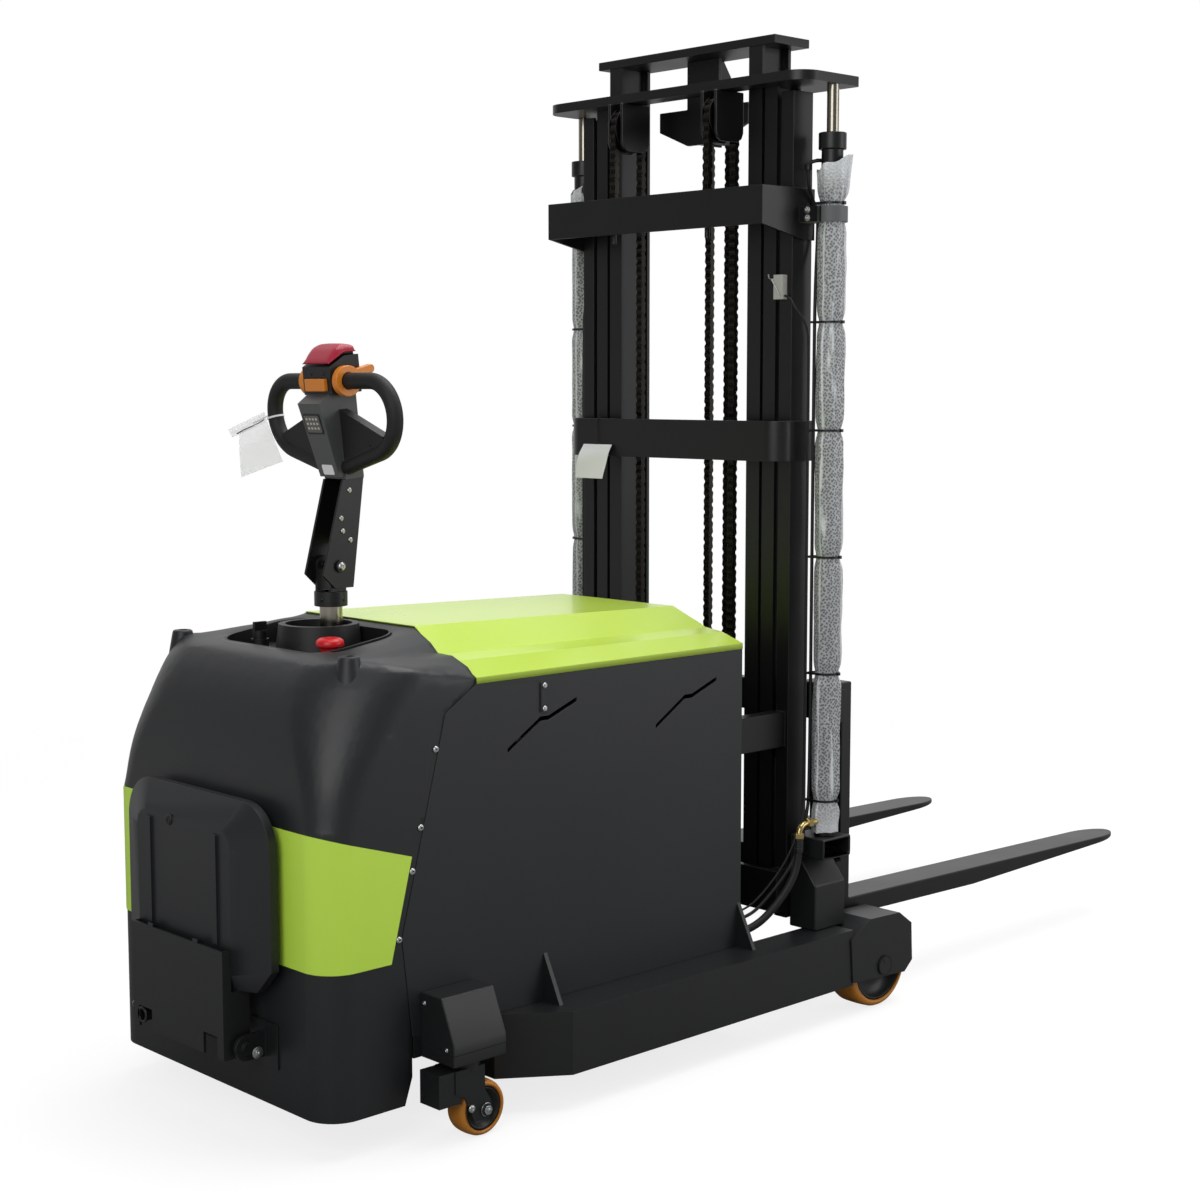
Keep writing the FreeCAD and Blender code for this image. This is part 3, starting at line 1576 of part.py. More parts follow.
def carriage():
    front = bar_rear + bar_thick
    shapes = both(sided(side_rear, bar_rear, side_inner, side_outer, side_low, upper_bar_high))
    for part in rail_rollers(
        inner_depth, carriage_roller_heights, side_outer, carriage_roller_in, carriage_roller_out
    ):
        shapes += both(part)
    shapes.append(across(bar_rear, front, bar_half, upper_bar_low, upper_bar_high))
    shapes.append(across(bar_rear, front, bar_half, lower_bar_low, lower_bar_high))
    shapes += both(sided(bar_rear, front, side_inner, side_outer, lower_bar_high, upper_bar_low))
    shapes.append(across(bar_rear, front, chain_lug_half, upper_bar_high, chain_lug_top))
    return joined(shapes)


def fork_plan(back, inner, outer):
    """The fork from above, drawn in to a long round tip."""
    low_z = blade_tip_z - heel_thick - past
    centre = Vec(fork_tip - tip_run, -fork_y, low_z)
    tip = Part.Ellipse(centre, tip_run, fork_width / 2).toShape(-math.pi / 2, math.pi / 2)
    corners = [Vec(x, y, low_z) for x, y in ((centre.x, -inner), (back, -inner), (back, -outer), (centre.x, -outer))]
    plan = Part.Wire([tip] + [Part.makeLine(a, b) for a, b in zip(corners, corners[1:])])
    return Part.Face(plan).extrude(Vec(0, 0, shank_top + past - low_z))


def fork():
    back = bar_rear + bar_thick
    inner = fork_y - fork_width / 2
    outer = fork_y + fork_width / 2
    run = fork_face + (fork_tip - fork_face) * taper_share
    drop = blade_tip_z + (blade_heel_z - blade_tip_z) * (1 - taper_share)
    side = [
        (back, shank_top),
        (back, blade_heel_z - heel_thick),
        (run, drop - heel_thick),
        (fork_tip, blade_tip_z - tip_thick),
        (fork_tip, blade_tip_z),
        (fork_face, blade_heel_z),
        (fork_face, shank_top),
    ]
    blade = prism_xz(side, -outer, -inner)
    blade = blade.common(fork_plan(back - past, inner, outer))
    hook = sided(bar_rear - hook_lip, back, inner, outer, upper_bar_high, shank_top)
    lip = sided(bar_rear - hook_lip, bar_rear, inner, outer, upper_bar_high - hook_drop, upper_bar_high)
    low = sided(bar_rear - hook_lip, back, inner, outer, lower_bar_low - hook_drop, lower_bar_low)
    catch = sided(bar_rear - hook_lip, bar_rear, inner, outer, lower_bar_low, lower_bar_low + hook_drop)
    return joined([blade, hook, lip, low, catch])


def all_parts():
    parts = {}

    def pair(name, shape):
        parts[name + "_right"] = shape
        parts[name + "_left"] = other_side(shape)

    parts["base_frame"] = base_frame()
    parts["battery_pack"] = battery_pack()
    parts["hydraulic_unit"] = hydraulic_unit()
    parts["counterweight"] = counterweight()
    parts["rear_cover"] = rear_cover()
    parts["cover_band"] = cover_band()
    parts["control_tray"] = control_tray()
    parts["stop_button"] = stop_button()
    parts["key_switch"] = key_switch()
    parts["hood"] = hood()
    pair("side_panel", side_panel())
    pair("outrigger", outrigger())
    tyre, hub = wheel(
        load_wheel_r, load_wheel_width, load_hub_r, load_axle_r + run_gap, load_recess, tread_edge
    )
    pair("load_wheel", placed(Part.makeCompound([tyre, hub]), load_axle_x, -load_wheel_y, load_wheel_r))
    pair("caster_mount", caster_mount())
    pair("caster_fork", caster_fork())
    tyre, hub = wheel(
        caster_r, caster_width, caster_hub_r, caster_axle_r + run_gap, caster_recess, tread_edge
    )
    rolled = Part.makeCompound([tyre, hub])
    pair("caster_wheel", placed(rolled, caster_x + caster_trail, -caster_y, caster_r))
    tyre, hub = wheel(drive_r, drive_width, drive_hub_r, drive_axle_r + run_gap, load_recess, tread_edge)
    parts["drive_wheel"] = placed(Part.makeCompound([tyre, hub]), 0, 0, drive_r)
    parts["drive_unit"] = drive_unit()
    parts["steering_post"] = steering_post()
    parts["tiller_arm"] = tiller_arm()
    parts["tiller_head"] = leaned(tiller_head())
    parts["throttle_paddles"] = leaned(throttle_paddles())
    parts["belly_button"] = leaned(belly_button())
    parts["horn_button"] = leaned(horn_button())
    parts["platform_bracket"] = platform_bracket()
    parts["platform_pad"] = platform_pad()
    parts["platform_plate"] = platform_plate()
    parts["outer_mast"] = outer_mast()
    parts["upper_crossmember"] = upper_crossmember()
    parts["mid_crossmember"] = mid_crossmember()
    pair("mast_foot", mast_foot())
    pair("lift_cylinder", lift_cylinder())
    parts["cylinder_sleeves"] = Part.makeCompound(both(cylinder_sleeve()))
    parts["hydraulic_lines"] = Part.makeCompound(both(hydraulic_line()))
    parts["limit_switch"] = limit_switch()
    parts["mid_mast"] = mid_mast()
    parts["mid_top_plate"] = mid_top_plate()
    parts["lift_rods"] = Part.makeCompound(both(lift_rod()))
    pair("lift_sheave", placed(sheave(lift_sheave_r, lift_pitch_r), lift_x, -lift_y, lift_axis_z))
    rear_x = lift_x - lift_pitch_r
    front_x = lift_x + lift_pitch_r
    parts["lift_chain_rear"] = Part.makeCompound(
        both(chain_run(rear_x, -lift_y, lift_anchor_z, lift_axis_z))
    )
    parts["lift_chain_front"] = Part.makeCompound(
        both(chain_run(front_x, -lift_y, inner_tie_high, lift_axis_z))
    )
    parts["inner_mast"] = inner_mast()
    parts["inner_top_plate"] = inner_top_plate()
    parts["load_sheave"] = placed(sheave(load_sheave_r, load_pitch_r), load_chain_x, 0, load_axis_z)
    parts["load_chain_rear"] = chain_run(load_chain_x - load_pitch_r, 0, lug_high, load_axis_z)
    parts["load_chain_front"] = chain_run(load_chain_x + load_pitch_r, 0, chain_lug_top, load_axis_z)
    arcs = both(chain_arc(lift_x, -lift_y, lift_axis_z, lift_pitch_r))
    parts["lift_chain_arcs"] = Part.makeCompound(arcs)
    parts["load_chain_arc"] = chain_arc(load_chain_x, 0, load_axis_z, load_pitch_r)
    parts["carriage"] = carriage()
    pair("fork", fork())
    return parts


def main():
    os.makedirs("parts", exist_ok=True)
    parts = all_parts()
    whole = FreeCAD.BoundBox()
    for shape in parts.values():
        whole.add(shape.optimalBoundingBox(False))
    shift = Vec(-(whole.XMin + whole.XMax) / 2, -(whole.YMin + whole.YMax) / 2, -whole.ZMin)
    for name, shape in parts.items():
        moved = shape.copy()
        moved.translate(shift)
        moved.exportStep("parts/" + name + ".step")
    print(len(parts), "parts, moved by", shift, "size", whole.XLength, whole.YLength, whole.ZLength)


main()
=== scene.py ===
"""Dresses the counterbalance stacker: paint, mouldings, chains, wraps, fasteners, light and camera."""

import math

import bmesh
import bpy
from bpy.props import FloatProperty, FloatVectorProperty, IntProperty, PointerProperty
from mathutils import Matrix, Vector, noise
from mathutils.bvhtree import BVHTree
from mathutils.kdtree import KDTree


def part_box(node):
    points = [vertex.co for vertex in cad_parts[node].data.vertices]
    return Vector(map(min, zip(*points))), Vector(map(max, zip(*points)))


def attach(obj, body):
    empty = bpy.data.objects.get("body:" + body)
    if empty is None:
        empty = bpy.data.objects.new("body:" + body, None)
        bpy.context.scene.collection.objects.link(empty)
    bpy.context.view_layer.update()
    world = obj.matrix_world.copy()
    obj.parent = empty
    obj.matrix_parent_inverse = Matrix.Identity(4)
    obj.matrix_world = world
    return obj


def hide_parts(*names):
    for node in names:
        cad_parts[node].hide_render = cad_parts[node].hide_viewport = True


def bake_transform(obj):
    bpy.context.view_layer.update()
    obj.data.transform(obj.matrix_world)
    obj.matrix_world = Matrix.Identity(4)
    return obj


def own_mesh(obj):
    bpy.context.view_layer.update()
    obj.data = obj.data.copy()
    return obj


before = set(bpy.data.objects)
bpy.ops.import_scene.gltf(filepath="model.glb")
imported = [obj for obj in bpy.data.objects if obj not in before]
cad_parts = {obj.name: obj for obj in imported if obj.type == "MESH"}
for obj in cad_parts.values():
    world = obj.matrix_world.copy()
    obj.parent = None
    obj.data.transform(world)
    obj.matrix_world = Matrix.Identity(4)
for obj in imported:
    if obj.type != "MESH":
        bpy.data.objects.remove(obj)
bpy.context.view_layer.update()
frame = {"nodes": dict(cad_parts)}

bl_info = {
    "name": "Counterbalance Stacker",
    "version": (1, 0, 0),
    "blender": (4, 5, 0),
    "location": "View3D > Sidebar > Stacker",
    "description": "Builds the finishes and small parts of a counterbalance stacker",
    "category": "Object",
}

MM = 0.001
UP = Vector((0, 0, 1))
WHITE = (1, 1, 1, 1)
SIDES = (("right", -1), ("left", 1))
STEER_X = sum(corner.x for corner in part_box("drive_wheel")) / 2
BOSS_MM = (-176, 298)
WELD = 0.01 * MM
FLAT = math.radians(0.3)
SHARP = math.radians(30)
SCREW_SHARES = ((0, 0), (1, 0), (1, 0.22), (0.8, 0.5), (0.42, 0.58), (0.36, 0.54), (0.34, 0.3), (0, 0.3))
WASHER_SHARES = ((0, 0), (1.3, 0), (1.36, 0.11), (1.3, 0.22), (0, 0.22))
FINISHES = {}


def linear(hex_code):
    """An sRGB hex colour as linear red, green and blue."""
    parts = [int(hex_code[i:i + 2], 16) / 255 for i in (1, 3, 5)]
    return tuple(c / 12.92 if c <= 0.04045 else ((c + 0.055) / 1.055) ** 2.4 for c in parts)


def tint(name, description, hex_code):
    return FloatVectorProperty(
        name=name, description=description, subtype="COLOR", size=3, min=0, max=1, default=linear(hex_code)
    )


def amount(name, description, value, **more):
    return FloatProperty(name=name, description=description, default=value, **more)


def length(name, description, millimetres):
    return amount(name, description, millimetres * MM, unit="LENGTH", precision=4)


class StackerColours(bpy.types.PropertyGroup):
    """Colours of the paints, mouldings and bare metals."""

    lime: tint("Lime", "Gloss paint of the hood", "#C5E352")
    # Lighter than the hood's lime: partly the vinyl's own colour, partly painted light for the band's
    # upright faces
    band: tint("Band", "Vinyl band round the cover", "#D2FA57")
    panel: tint("Panel", "Powder coat of the side panels", "#242628")
    frame: tint("Frame", "Paint of the chassis and outriggers", "#1C1E1F")
    mast: tint("Mast", "Paint of the mast rails", "#0B0C0D")
    cover: tint("Cover", "Moulded rear cover", "#202224")
    moulding: tint("Moulding", "Black moulded parts", "#121314")
    face: tint("Face", "Grey face of the tiller head", "#4D504F")
    orange: tint("Orange", "Throttle paddles and horn", "#DE8426")
    crimson: tint("Crimson", "Belly button", "#A81C38")
    red: tint("Red", "Emergency stop", "#D81F26")
    tread: tint("Tread", "Polyurethane wheel treads", "#D68A2E")
    steel: tint("Steel", "Bright plated steel", "#C9CACB")
    chain: tint("Chain", "Oiled chain steel", "#34322F")
    brass: tint("Brass", "Brass fittings", "#C2AC74")
    film: tint("Film", "Bubble film round the cylinders", "#CED1D4")
    card: tint("Card", "Hang tags", "#ECEDEC")


class StackerSizes(bpy.types.PropertyGroup):
    """Sizes of the small parts that are added to the frame."""

    edge: length("Edge", "Rounding of plate edges", 1.5)
    hood_edge: length("Hood edge", "Rounding of the hood's folds", 9)
    chain_pitch: length("Chain pitch", "Distance between chain pins", 19.05)
    chain_plate: length("Chain plate", "Thickness of a chain plate", 2.4)
    tie_width: length("Tie width", "Width of a cable tie", 5)
    bubble: length("Bubble", "Spacing of the bubbles in the film", 7)
    screw: length("Screw", "Radius of a panel screw's head", 7)
    hose: length("Hose", "Diameter of a lift hose", 18)
    drain: length("Drain hose", "Diameter of a cylinder's drain hose", 8)
    cable: length("Cable", "Diameter of the limit switch's cable", 5)


class StackerView(bpy.types.PropertyGroup):
    """Camera and light."""

    place: FloatVectorProperty(
        name="Camera", description="Where the camera stands", subtype="XYZ", unit="LENGTH",
        default=(-3.5562, -3.4419, 1.49),
    )
    yaw: amount("Yaw", "Heading from +X", math.radians(46.327), subtype="ANGLE")
    dip: amount("Dip", "Tilt below level", math.radians(6.03), subtype="ANGLE")
    lens: amount("Lens", "Focal length on a 36 mm square", 60.465)
    sky: amount("Backdrop", "Strength of the light from the lit backdrop", 0.85)
    room: amount("Room", "Strength of the light from the dim side of the room", 0.16)
    key: amount("Key", "Power of the large overhead lamp", 200, unit="POWER")
    fill: amount("Fill", "Power of the lamp behind the operator", 82, unit="POWER")
    side: amount("Side", "Power of the lamp on the right", 42, unit="POWER")
    glow: amount("Glow", "How far the floor is lifted to white for the camera", 0.80)
    bounce: amount("Bounce", "Share of the far floor's white that lights the truck", 0.42)
    floor: tint("Floor", "Studio floor", "#8A8A8A")


def settings():
    scene = bpy.context.scene
    return scene.stacker_colours, scene.stacker_sizes, scene.stacker_view


def feed(tree, node, inputs):
    """Sets inputs of a node. Each is given a value, a socket, or a node whose first output feeds it."""
    for name, value in inputs.items():
        if isinstance(value, bpy.types.Node):
            value = next(socket for socket in value.outputs if socket.enabled)
        if isinstance(value, bpy.types.NodeSocket):
            tree.links.new(value, node.inputs[name])
        else:
            node.inputs[name].default_value = value


def add_node(tree, kind, inputs=None, **properties):
    """Adds one shader node with its properties and its inputs."""
    made = tree.nodes.new(kind)
    for name, value in properties.items():
        setattr(made, name, value)
    feed(tree, made, inputs or {})
    return made


def calc(tree, operation, *terms):
    """One step of arithmetic."""
    return add_node(tree, "ShaderNodeMath", dict(enumerate(terms)), operation=operation)


def remap(tree, value, start=(0, 1), end=(0, 1), smooth=False):
    """Carries a value from one range to another."""
    ranges = {"From Min": start[0], "From Max": start[1], "To Min": end[0], "To Max": end[1]}
    curve = "SMOOTHSTEP" if smooth else "LINEAR"
    return add_node(tree, "ShaderNodeMapRange", {"Value": value, **ranges}, interpolation_type=curve)


def mix_colours(tree, share, first, second):
    return add_node(tree, "ShaderNodeMix", {"Factor": share, "A": first, "B": second}, data_type="RGBA")


def cloud(tree, place, size_mm, detail, rough=0.5, **properties):
    """Noise with features of about one size."""
    inputs = {"Vector": place, "Scale": 1 / (size_mm * MM), "Detail": detail, "Roughness": rough}
    return add_node(tree, "ShaderNodeTexNoise", inputs, **properties)


def bump(tree, height, strength, depth):
    return add_node(tree, "ShaderNodeBump", {"Height": height, "Strength": strength, "Distance": depth})


def empty_tree(block):
    """The cleared node tree of a material or a world."""
    block.use_nodes = True
    block.node_tree.nodes.clear()
    return block.node_tree


def start_material(name, colour, rough, extra):
    """A new material with one Principled shader: its tree, the shader and the object's coordinates."""
    FINISHES[name] = bpy.data.materials.new(name)
    tree = empty_tree(FINISHES[name])
    values = {"Base Color": opaque(colour), "Roughness": rough, **extra}
    shader = add_node(tree, "ShaderNodeBsdfPrincipled", values)
    add_node(tree, "ShaderNodeOutputMaterial", {"Surface": shader})
    return tree, shader, add_node(tree, "ShaderNodeTexCoord").outputs["Object"]


def opaque(colour):
    return (*colour, 1.0)


def shade(colour, share):
    return opaque([min(1.0, c * share) for c in colour])


def grained(name, colour, rough, grain_mm, grain_depth_mm, drift=0.12, **extra):
    """A dyed or painted surface: slow drift of tone and gloss, and a fine grain in its height."""
    tree, shader, place = start_material(name, colour, rough, extra)
    slow = cloud(tree, place, 240, 3.0, 0.55)
    grain = cloud(tree, place, grain_mm, 2.0)
    feed(tree, shader, {
        "Base Color": mix_colours(tree, slow, shade(colour, 1 - drift), shade(colour, 1 + drift)),
        "Roughness": remap(tree, slow, end=(max(0.02, rough - 0.07), min(1.0, rough + 0.07))),
        "Normal": bump(tree, grain, 0.5, grain_depth_mm * MM),
    })


def worked_metal(name, colour, rough, line_mm, stretch, depth_mm):
    """Bare metal with fine tool marks drawn out along one direction."""
    tree, shader, place = start_material(name, colour, rough, {"Metallic": 1.0})
    laid = add_node(tree, "ShaderNodeMapping", {"Vector": place, "Scale": stretch})
    marks = cloud(tree, laid, line_mm, 2.0)
    feed(tree, shader, {
        "Roughness": remap(tree, marks, end=(max(0.03, rough - 0.06), rough + 0.08)),
        "Normal": bump(tree, marks, 0.3, depth_mm * MM),
    })


def bubble_film(name, colour, spacing, folds, ends):
    """Bubble film: pale rings round dark domes, painted white highlights at the folds and in long streaks,
    and white towards its top and its foot.
    """
    tree, shader, _ = start_material(name, colour, 0.26, {"IOR": 1.51})
    unrolled = add_node(tree, "ShaderNodeTexCoord").outputs["UV"]
    rows = add_node(tree, "ShaderNodeMapping", {"Vector": unrolled, "Rotation": (0, 0, math.radians(38))})
    cells = add_node(
        tree, "ShaderNodeTexVoronoi", {"Vector": rows, "Scale": 1 / spacing, "Randomness": 0.6},
        voronoi_dimensions="2D", feature="F1",
    )
    dome = remap(tree, cells, (0.16, 0.55), (1, 0), smooth=True)
    drawn = add_node(tree, "ShaderNodeMapping", {"Vector": unrolled, "Scale": (1, 0.12, 1)})
    drift = cloud(tree, drawn, 30, 4.0, 0.65, noise_dimensions="2D")
    around, up, _ = add_node(tree, "ShaderNodeSeparateXYZ", {"Vector": unrolled}).outputs
    swayed = calc(tree, "ADD", around, remap(tree, drift, end=(-9 * MM, 9 * MM)))
    # Painted highlights: long pale streaks where the stretched noise runs high
    pale = remap(tree, drift, (0.58, 0.72), smooth=True)
    for end in ends:
        pale = calc(tree, "MAXIMUM", pale, remap(tree, up, end, (0, 0.85)))
    # Painted highlights: white along each fold line
    for place, wide in folds:
        distance = calc(tree, "ABSOLUTE", calc(tree, "SUBTRACT", swayed, place))
        pale = calc(tree, "MAXIMUM", pale, remap(tree, distance, (0, wide), (1, 0), smooth=True))
    bubbly = mix_colours(tree, dome, shade(colour, 0.8), shade(colour, 0.26))
    feed(tree, shader, {
        "Base Color": mix_colours(tree, pale, bubbly, shade(colour, 1.3)),
        "Normal": bump(tree, dome, 0.6, spacing * 0.14),
    })


def make_finishes():
    """Every paint, moulding and metal on the truck."""
    colours, sizes, _ = settings()
    # Powder coat on sheet steel: satin, with a faint orange peel a few millimetres across
    grained("powder_coat_charcoal", colours.panel, 0.42, 3.0, 0.10)
    # Wet paint on welded plate: a little glossier and smoother
    grained("enamel_frame_black", colours.frame, 0.40, 4.0, 0.08)
    grained("enamel_mast_black", colours.mast, 0.38, 5.0, 0.06, 0.18)
    # Gloss paint on pressed sheet: clear reflections with a soft ripple
    clear = {"Coat Weight": 0.25, "Coat Roughness": 0.15}
    grained("gloss_paint_lime", colours.lime, 0.3, 9.0, 0.05, 0.03, **clear)
    # Cut vinyl laid over the cover: even, with little gloss. Its lime is lighter than the hood's, partly the
    # vinyl's own colour and partly painted light that makes up for the weaker light on its upright faces
    grained("cut_vinyl_lime", colours.band, 0.4, 6.0, 0.04, 0.02)
    # Vacuum-formed ABS with a fine leather grain
    grained("formed_abs_charcoal", colours.cover, 0.43, 1.6, 0.08)
    # Injection-moulded polypropylene, spark-eroded texture
    grained("moulded_pp_black", colours.moulding, 0.5, 1.0, 0.08)
    grained("moulded_pp_grey", colours.face, 0.48, 1.0, 0.08)
    # Rolled steel strap, painted a dull grey
    grained("rolled_strap_grey", linear("#626466"), 0.5, 2.0, 0.05)
    # Foamed handle cover, soft and even
    grained("foam_grip_black", colours.moulding, 0.62, 0.8, 0.12)
    # Moulded ABS in signal colours, fairly glossy
    grained("moulded_abs_orange", colours.orange, 0.36, 1.5, 0.05, 0.05)
    grained("moulded_abs_crimson", colours.crimson, 0.38, 1.5, 0.06, 0.05)
    grained("moulded_abs_red", colours.red, 0.3, 1.5, 0.04, 0.04)
    # Cast polyurethane: waxy, slightly uneven amber
    grained("cast_polyurethane", colours.tread, 0.34, 6.0, 0.10, 0.10, **{"Subsurface Weight": 0.08})
    # Rubber and nylon: darker than the mouldings, the rubber dull and the nylon with a sheen
    grained("extruded_rubber_black", shade(colours.moulding, 0.8)[:3], 0.55, 2.0, 0.10)
    grained("cut_nylon_black", shade(colours.moulding, 0.6)[:3], 0.35, 1.2, 0.03)
    # Coated card: bright, smooth and even
    grained("coated_card_white", colours.card, 0.35, 2.0, 0.03, 0.02)
    # Thin blown film: mostly see-through, with soft ripples
    clear = {"Transmission Weight": 0.7, "IOR": 1.2}
    grained("blown_film_pale", linear("#F3F4F3"), 0.2, 14.0, 0.25, 0.02, **clear)
    # Screen-printed polyester over a keypad: even and slightly glossy
    grained("printed_film_warm", linear("#5E5752"), 0.32, 2.0, 0.02)
    # Moulded switch case and keys: pale and dull
    grained("moulded_case_pale", linear("#B9BAB4"), 0.45, 1.2, 0.05)
    # Painted shade: a dark finish laid over joints and slots that are not cut, standing in for the shade
    # inside them
    grained("shadow_black", linear("#0B0B0C"), 0.7, 3.0, 0.02)
    # Ground chrome is streaked along the rod; turned and oiled metals are marked evenly
    worked_metal("hard_chrome_ground", linear("#A59F92"), 0.2, 0.6, (1, 1, 0.04), 0.004)
    worked_metal("zinc_plate_turned", colours.steel, 0.3, 0.8, (1, 1, 1), 0.02)
    worked_metal("oiled_steel_chain", colours.chain, 0.36, 2.0, (1, 1, 1), 0.03)
    worked_metal("brass_turned", colours.brass, 0.26, 1.2, (1, 1, 1), 0.02)
    # Bubble film: see its function
    film = STACKER_OT_sleeves
    bubble_film("bubble_film_clear", colours.film, sizes.bubble, film.fold_lines(), film.pale_ends())


def link_new(name, data):
    """A new object in the scene."""
    piece = bpy.data.objects.new(name, data)
    bpy.context.scene.collection.objects.link(piece)
    return piece


def from_bmesh(bm, name, finish, body=None, smooth=True):
    """Makes a piece with its finish, and lets it ride on a body if one is named."""
    bmesh.ops.recalc_face_normals(bm, faces=bm.faces)
    mesh = bpy.data.meshes.new(name)
    bm.to_mesh(mesh)
    bm.free()
    mesh.materials.append(FINISHES[finish])
    piece = link_new(name, mesh)
    if body:
        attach(piece, body)
    if smooth:
        mesh.shade_smooth()
        add_normals(piece)
    return piece


def add_normals(piece):
    normals = piece.modifiers.new("normals", "WEIGHTED_NORMAL")
    normals.keep_sharp = True
    normals.weight = 80


def dress(node, finish, edge_mm=None, segments=2):
    """Gives a frame node its finish and eases its sharp edges."""
    piece = frame["nodes"][node]
    piece.data.materials.clear()
    piece.data.materials.append(FINISHES[finish])
    piece.data.shade_smooth()
    weld = piece.modifiers.new("weld", "WELD")
    weld.merge_threshold = WELD
    flat = piece.modifiers.new("flat", "DECIMATE")
    flat.decimate_type = "DISSOLVE"
    flat.angle_limit = FLAT
    ease = piece.modifiers.new("edges", "BEVEL")
    ease.width = settings()[1].edge if edge_mm is None else edge_mm * MM
    ease.segments = segments
    ease.limit_method = "ANGLE"
    ease.angle_limit = SHARP
    ease.miter_outer = "MITER_ARC"
    add_normals(piece)


def cleaned(node):
    """A bmesh of a node, with its flat faces joined up."""
    bm = bmesh.new()
    bm.from_mesh(frame["nodes"][node].data)
    bmesh.ops.remove_doubles(bm, verts=bm.verts, dist=WELD)
    bmesh.ops.dissolve_limit(bm, angle_limit=FLAT, verts=bm.verts, edges=bm.edges)
    return bm


def folds_over(bm, least):
    """Edges where two faces meet at more than an angle."""
    return [e for e in bm.edges if e.is_manifold and e.calc_face_angle(0) > least]


def bevel(bm, edges, width, segments=2):
    bmesh.ops.bevel(
        bm, geom=edges, offset=width, offset_type="OFFSET", segments=segments, profile=0.5, affect="EDGES",
        clamp_overlap=True,
    )


def slice_up(bm, low, high, step):
    """Cuts faces at even steps along each axis, so that they can bend."""
    for axis in range(3):
        out = Vector([float(axis == k) for k in range(3)])
        for i in range(1, math.ceil((high[axis] - low[axis]) / step)):
            whole = bm.verts[:] + bm.edges[:] + bm.faces[:]
            cut = low + out * (i * step)
            bmesh.ops.bisect_plane(bm, geom=whole, dist=0.5 * MM, plane_co=cut, plane_no=out)


def settle(points, passes):
    """Moves points half way to the mean of their neighbours, again and again."""
    for _ in range(passes):
        moved = []
        for v in points:
            around = [e.other_vert(v).co for e in v.link_edges]
            moved.append(v.co.lerp(sum(around, Vector()) / len(around), 0.5))
        for v, co in zip(points, moved):
            v.co = co


def scaled(profile, unit=MM):
    return [(radius * unit, height * unit) for radius, height in profile]


def circle(radius, steps, height=0.0):
    turns = [math.tau * i / steps for i in range(steps)]
    return [Vector((radius * math.cos(a), radius * math.sin(a), height)) for a in turns]


def join_rings(bm, rings, closed=False):
    """Faces between each ring of points and the next. A ring of one point makes a tip."""
    for low, high in zip(rings, rings[1:] + (rings[:1] if closed else [])):
        steps = max(len(low), len(high))
        for i in range(steps):
            j = (i + 1) % steps
            corners = [low[i % len(low)], low[j % len(low)], high[j % len(high)], high[i % len(high)]]
            bm.faces.new(list(dict.fromkeys(corners)))


def turned(bm, profile, place, steps, closed=False):
    """Revolves a profile of (radius, height) about the Z axis of a placing matrix."""
    rings = []
    for radius, height in profile:
        points = circle(radius, steps, height) if radius > 1e-7 else [Vector((0, 0, height))]
        rings.append([bm.verts.new(place @ p) for p in points])
    join_rings(bm, rings, closed)


def turn_piece(name, profile, place, steps, finish, body, closed=False):
    """One piece revolved from a profile."""
    bm = bmesh.new()
    turned(bm, profile, place, steps, closed)
    return from_bmesh(bm, name, finish, body)


def placing(centre, axis):
    """A matrix that puts Z along an axis at a centre."""
    return Matrix.Translation(centre) @ UP.rotation_difference(Vector(axis)).to_matrix().to_4x4()


def add_bolt(bm, centre, axis, radius, height_share=0.65):
    """A hexagon head on a washer, with the end of the thread on top."""
    place = placing(centre, axis)
    foot = WASHER_SHARES[-1][1]
    top = foot + height_share
    head = ((0, foot), (1, foot), (1, top * 0.92), (0.86, top), (0, top))
    thread = ((0, top), (0.42, top), (0.42, top + 0.2), (0, top + 0.2))
    for profile, steps in ((WASHER_SHARES, 24), (head, 6), (thread, 12)):
        turned(bm, scaled(profile, radius), place, steps)


def add_screw(bm, centre, axis, radius):
    """A domed head with a socket sunk in its middle."""
    turned(bm, scaled(SCREW_SHARES, radius), placing(centre, axis), 20)


def add_block(bm, low, high, place=None):
    """A box between two corners, in the axes of a placing matrix."""
    size = Vector(high) - Vector(low)
    centre = (Vector(high) + Vector(low)) / 2
    matrix = (place or Matrix()) @ Matrix.Translation(centre) @ Matrix.Diagonal((*size, 1))
    bmesh.ops.create_cube(bm, size=1, matrix=matrix)


def add_slab(bm, outline, near_y, far_y):
    """A plate with an outline in X and Z, between two values of Y."""
    near, far = ([bm.verts.new((x, y, z)) for x, z in outline] for y in (near_y, far_y))
    bm.faces.new(near)
    bm.faces.new(list(reversed(far)))
    for i in range(len(near)):
        j = (i + 1) % len(near)
        bm.faces.new((near[j], near[i], far[i], far[j]))


def add_pad(bm, place, half_wide, half_high, corner, thick, ease):
    """A rounded plate on a placing matrix's XY plane, its rim eased. Sizes are in millimetres."""
    outline = []
    for turn, (sx, sy) in enumerate(((1, 1), (-1, 1), (-1, -1), (1, -1))):
        for i in range(6):
            a = math.radians(90 * turn + 18 * i)
            x = sx * (half_wide - corner) + corner * math.cos(a)
            outline.append((x, sy * (half_high - corner) + corner * math.sin(a)))
    rings = []
    for inset, height in ((0, 0), (0, thick - ease), (ease * 0.3, thick - ease * 0.3), (ease, thick)):
        wide, high = 1 - inset / half_wide, 1 - inset / half_high
        rings.append([bm.verts.new(place @ (Vector((x * wide, y * high, height)) * MM)) for x, y in outline])
    join_rings(bm, rings)
    bm.faces.new(rings[-1])
    bm.faces.new(list(reversed(rings[0])))


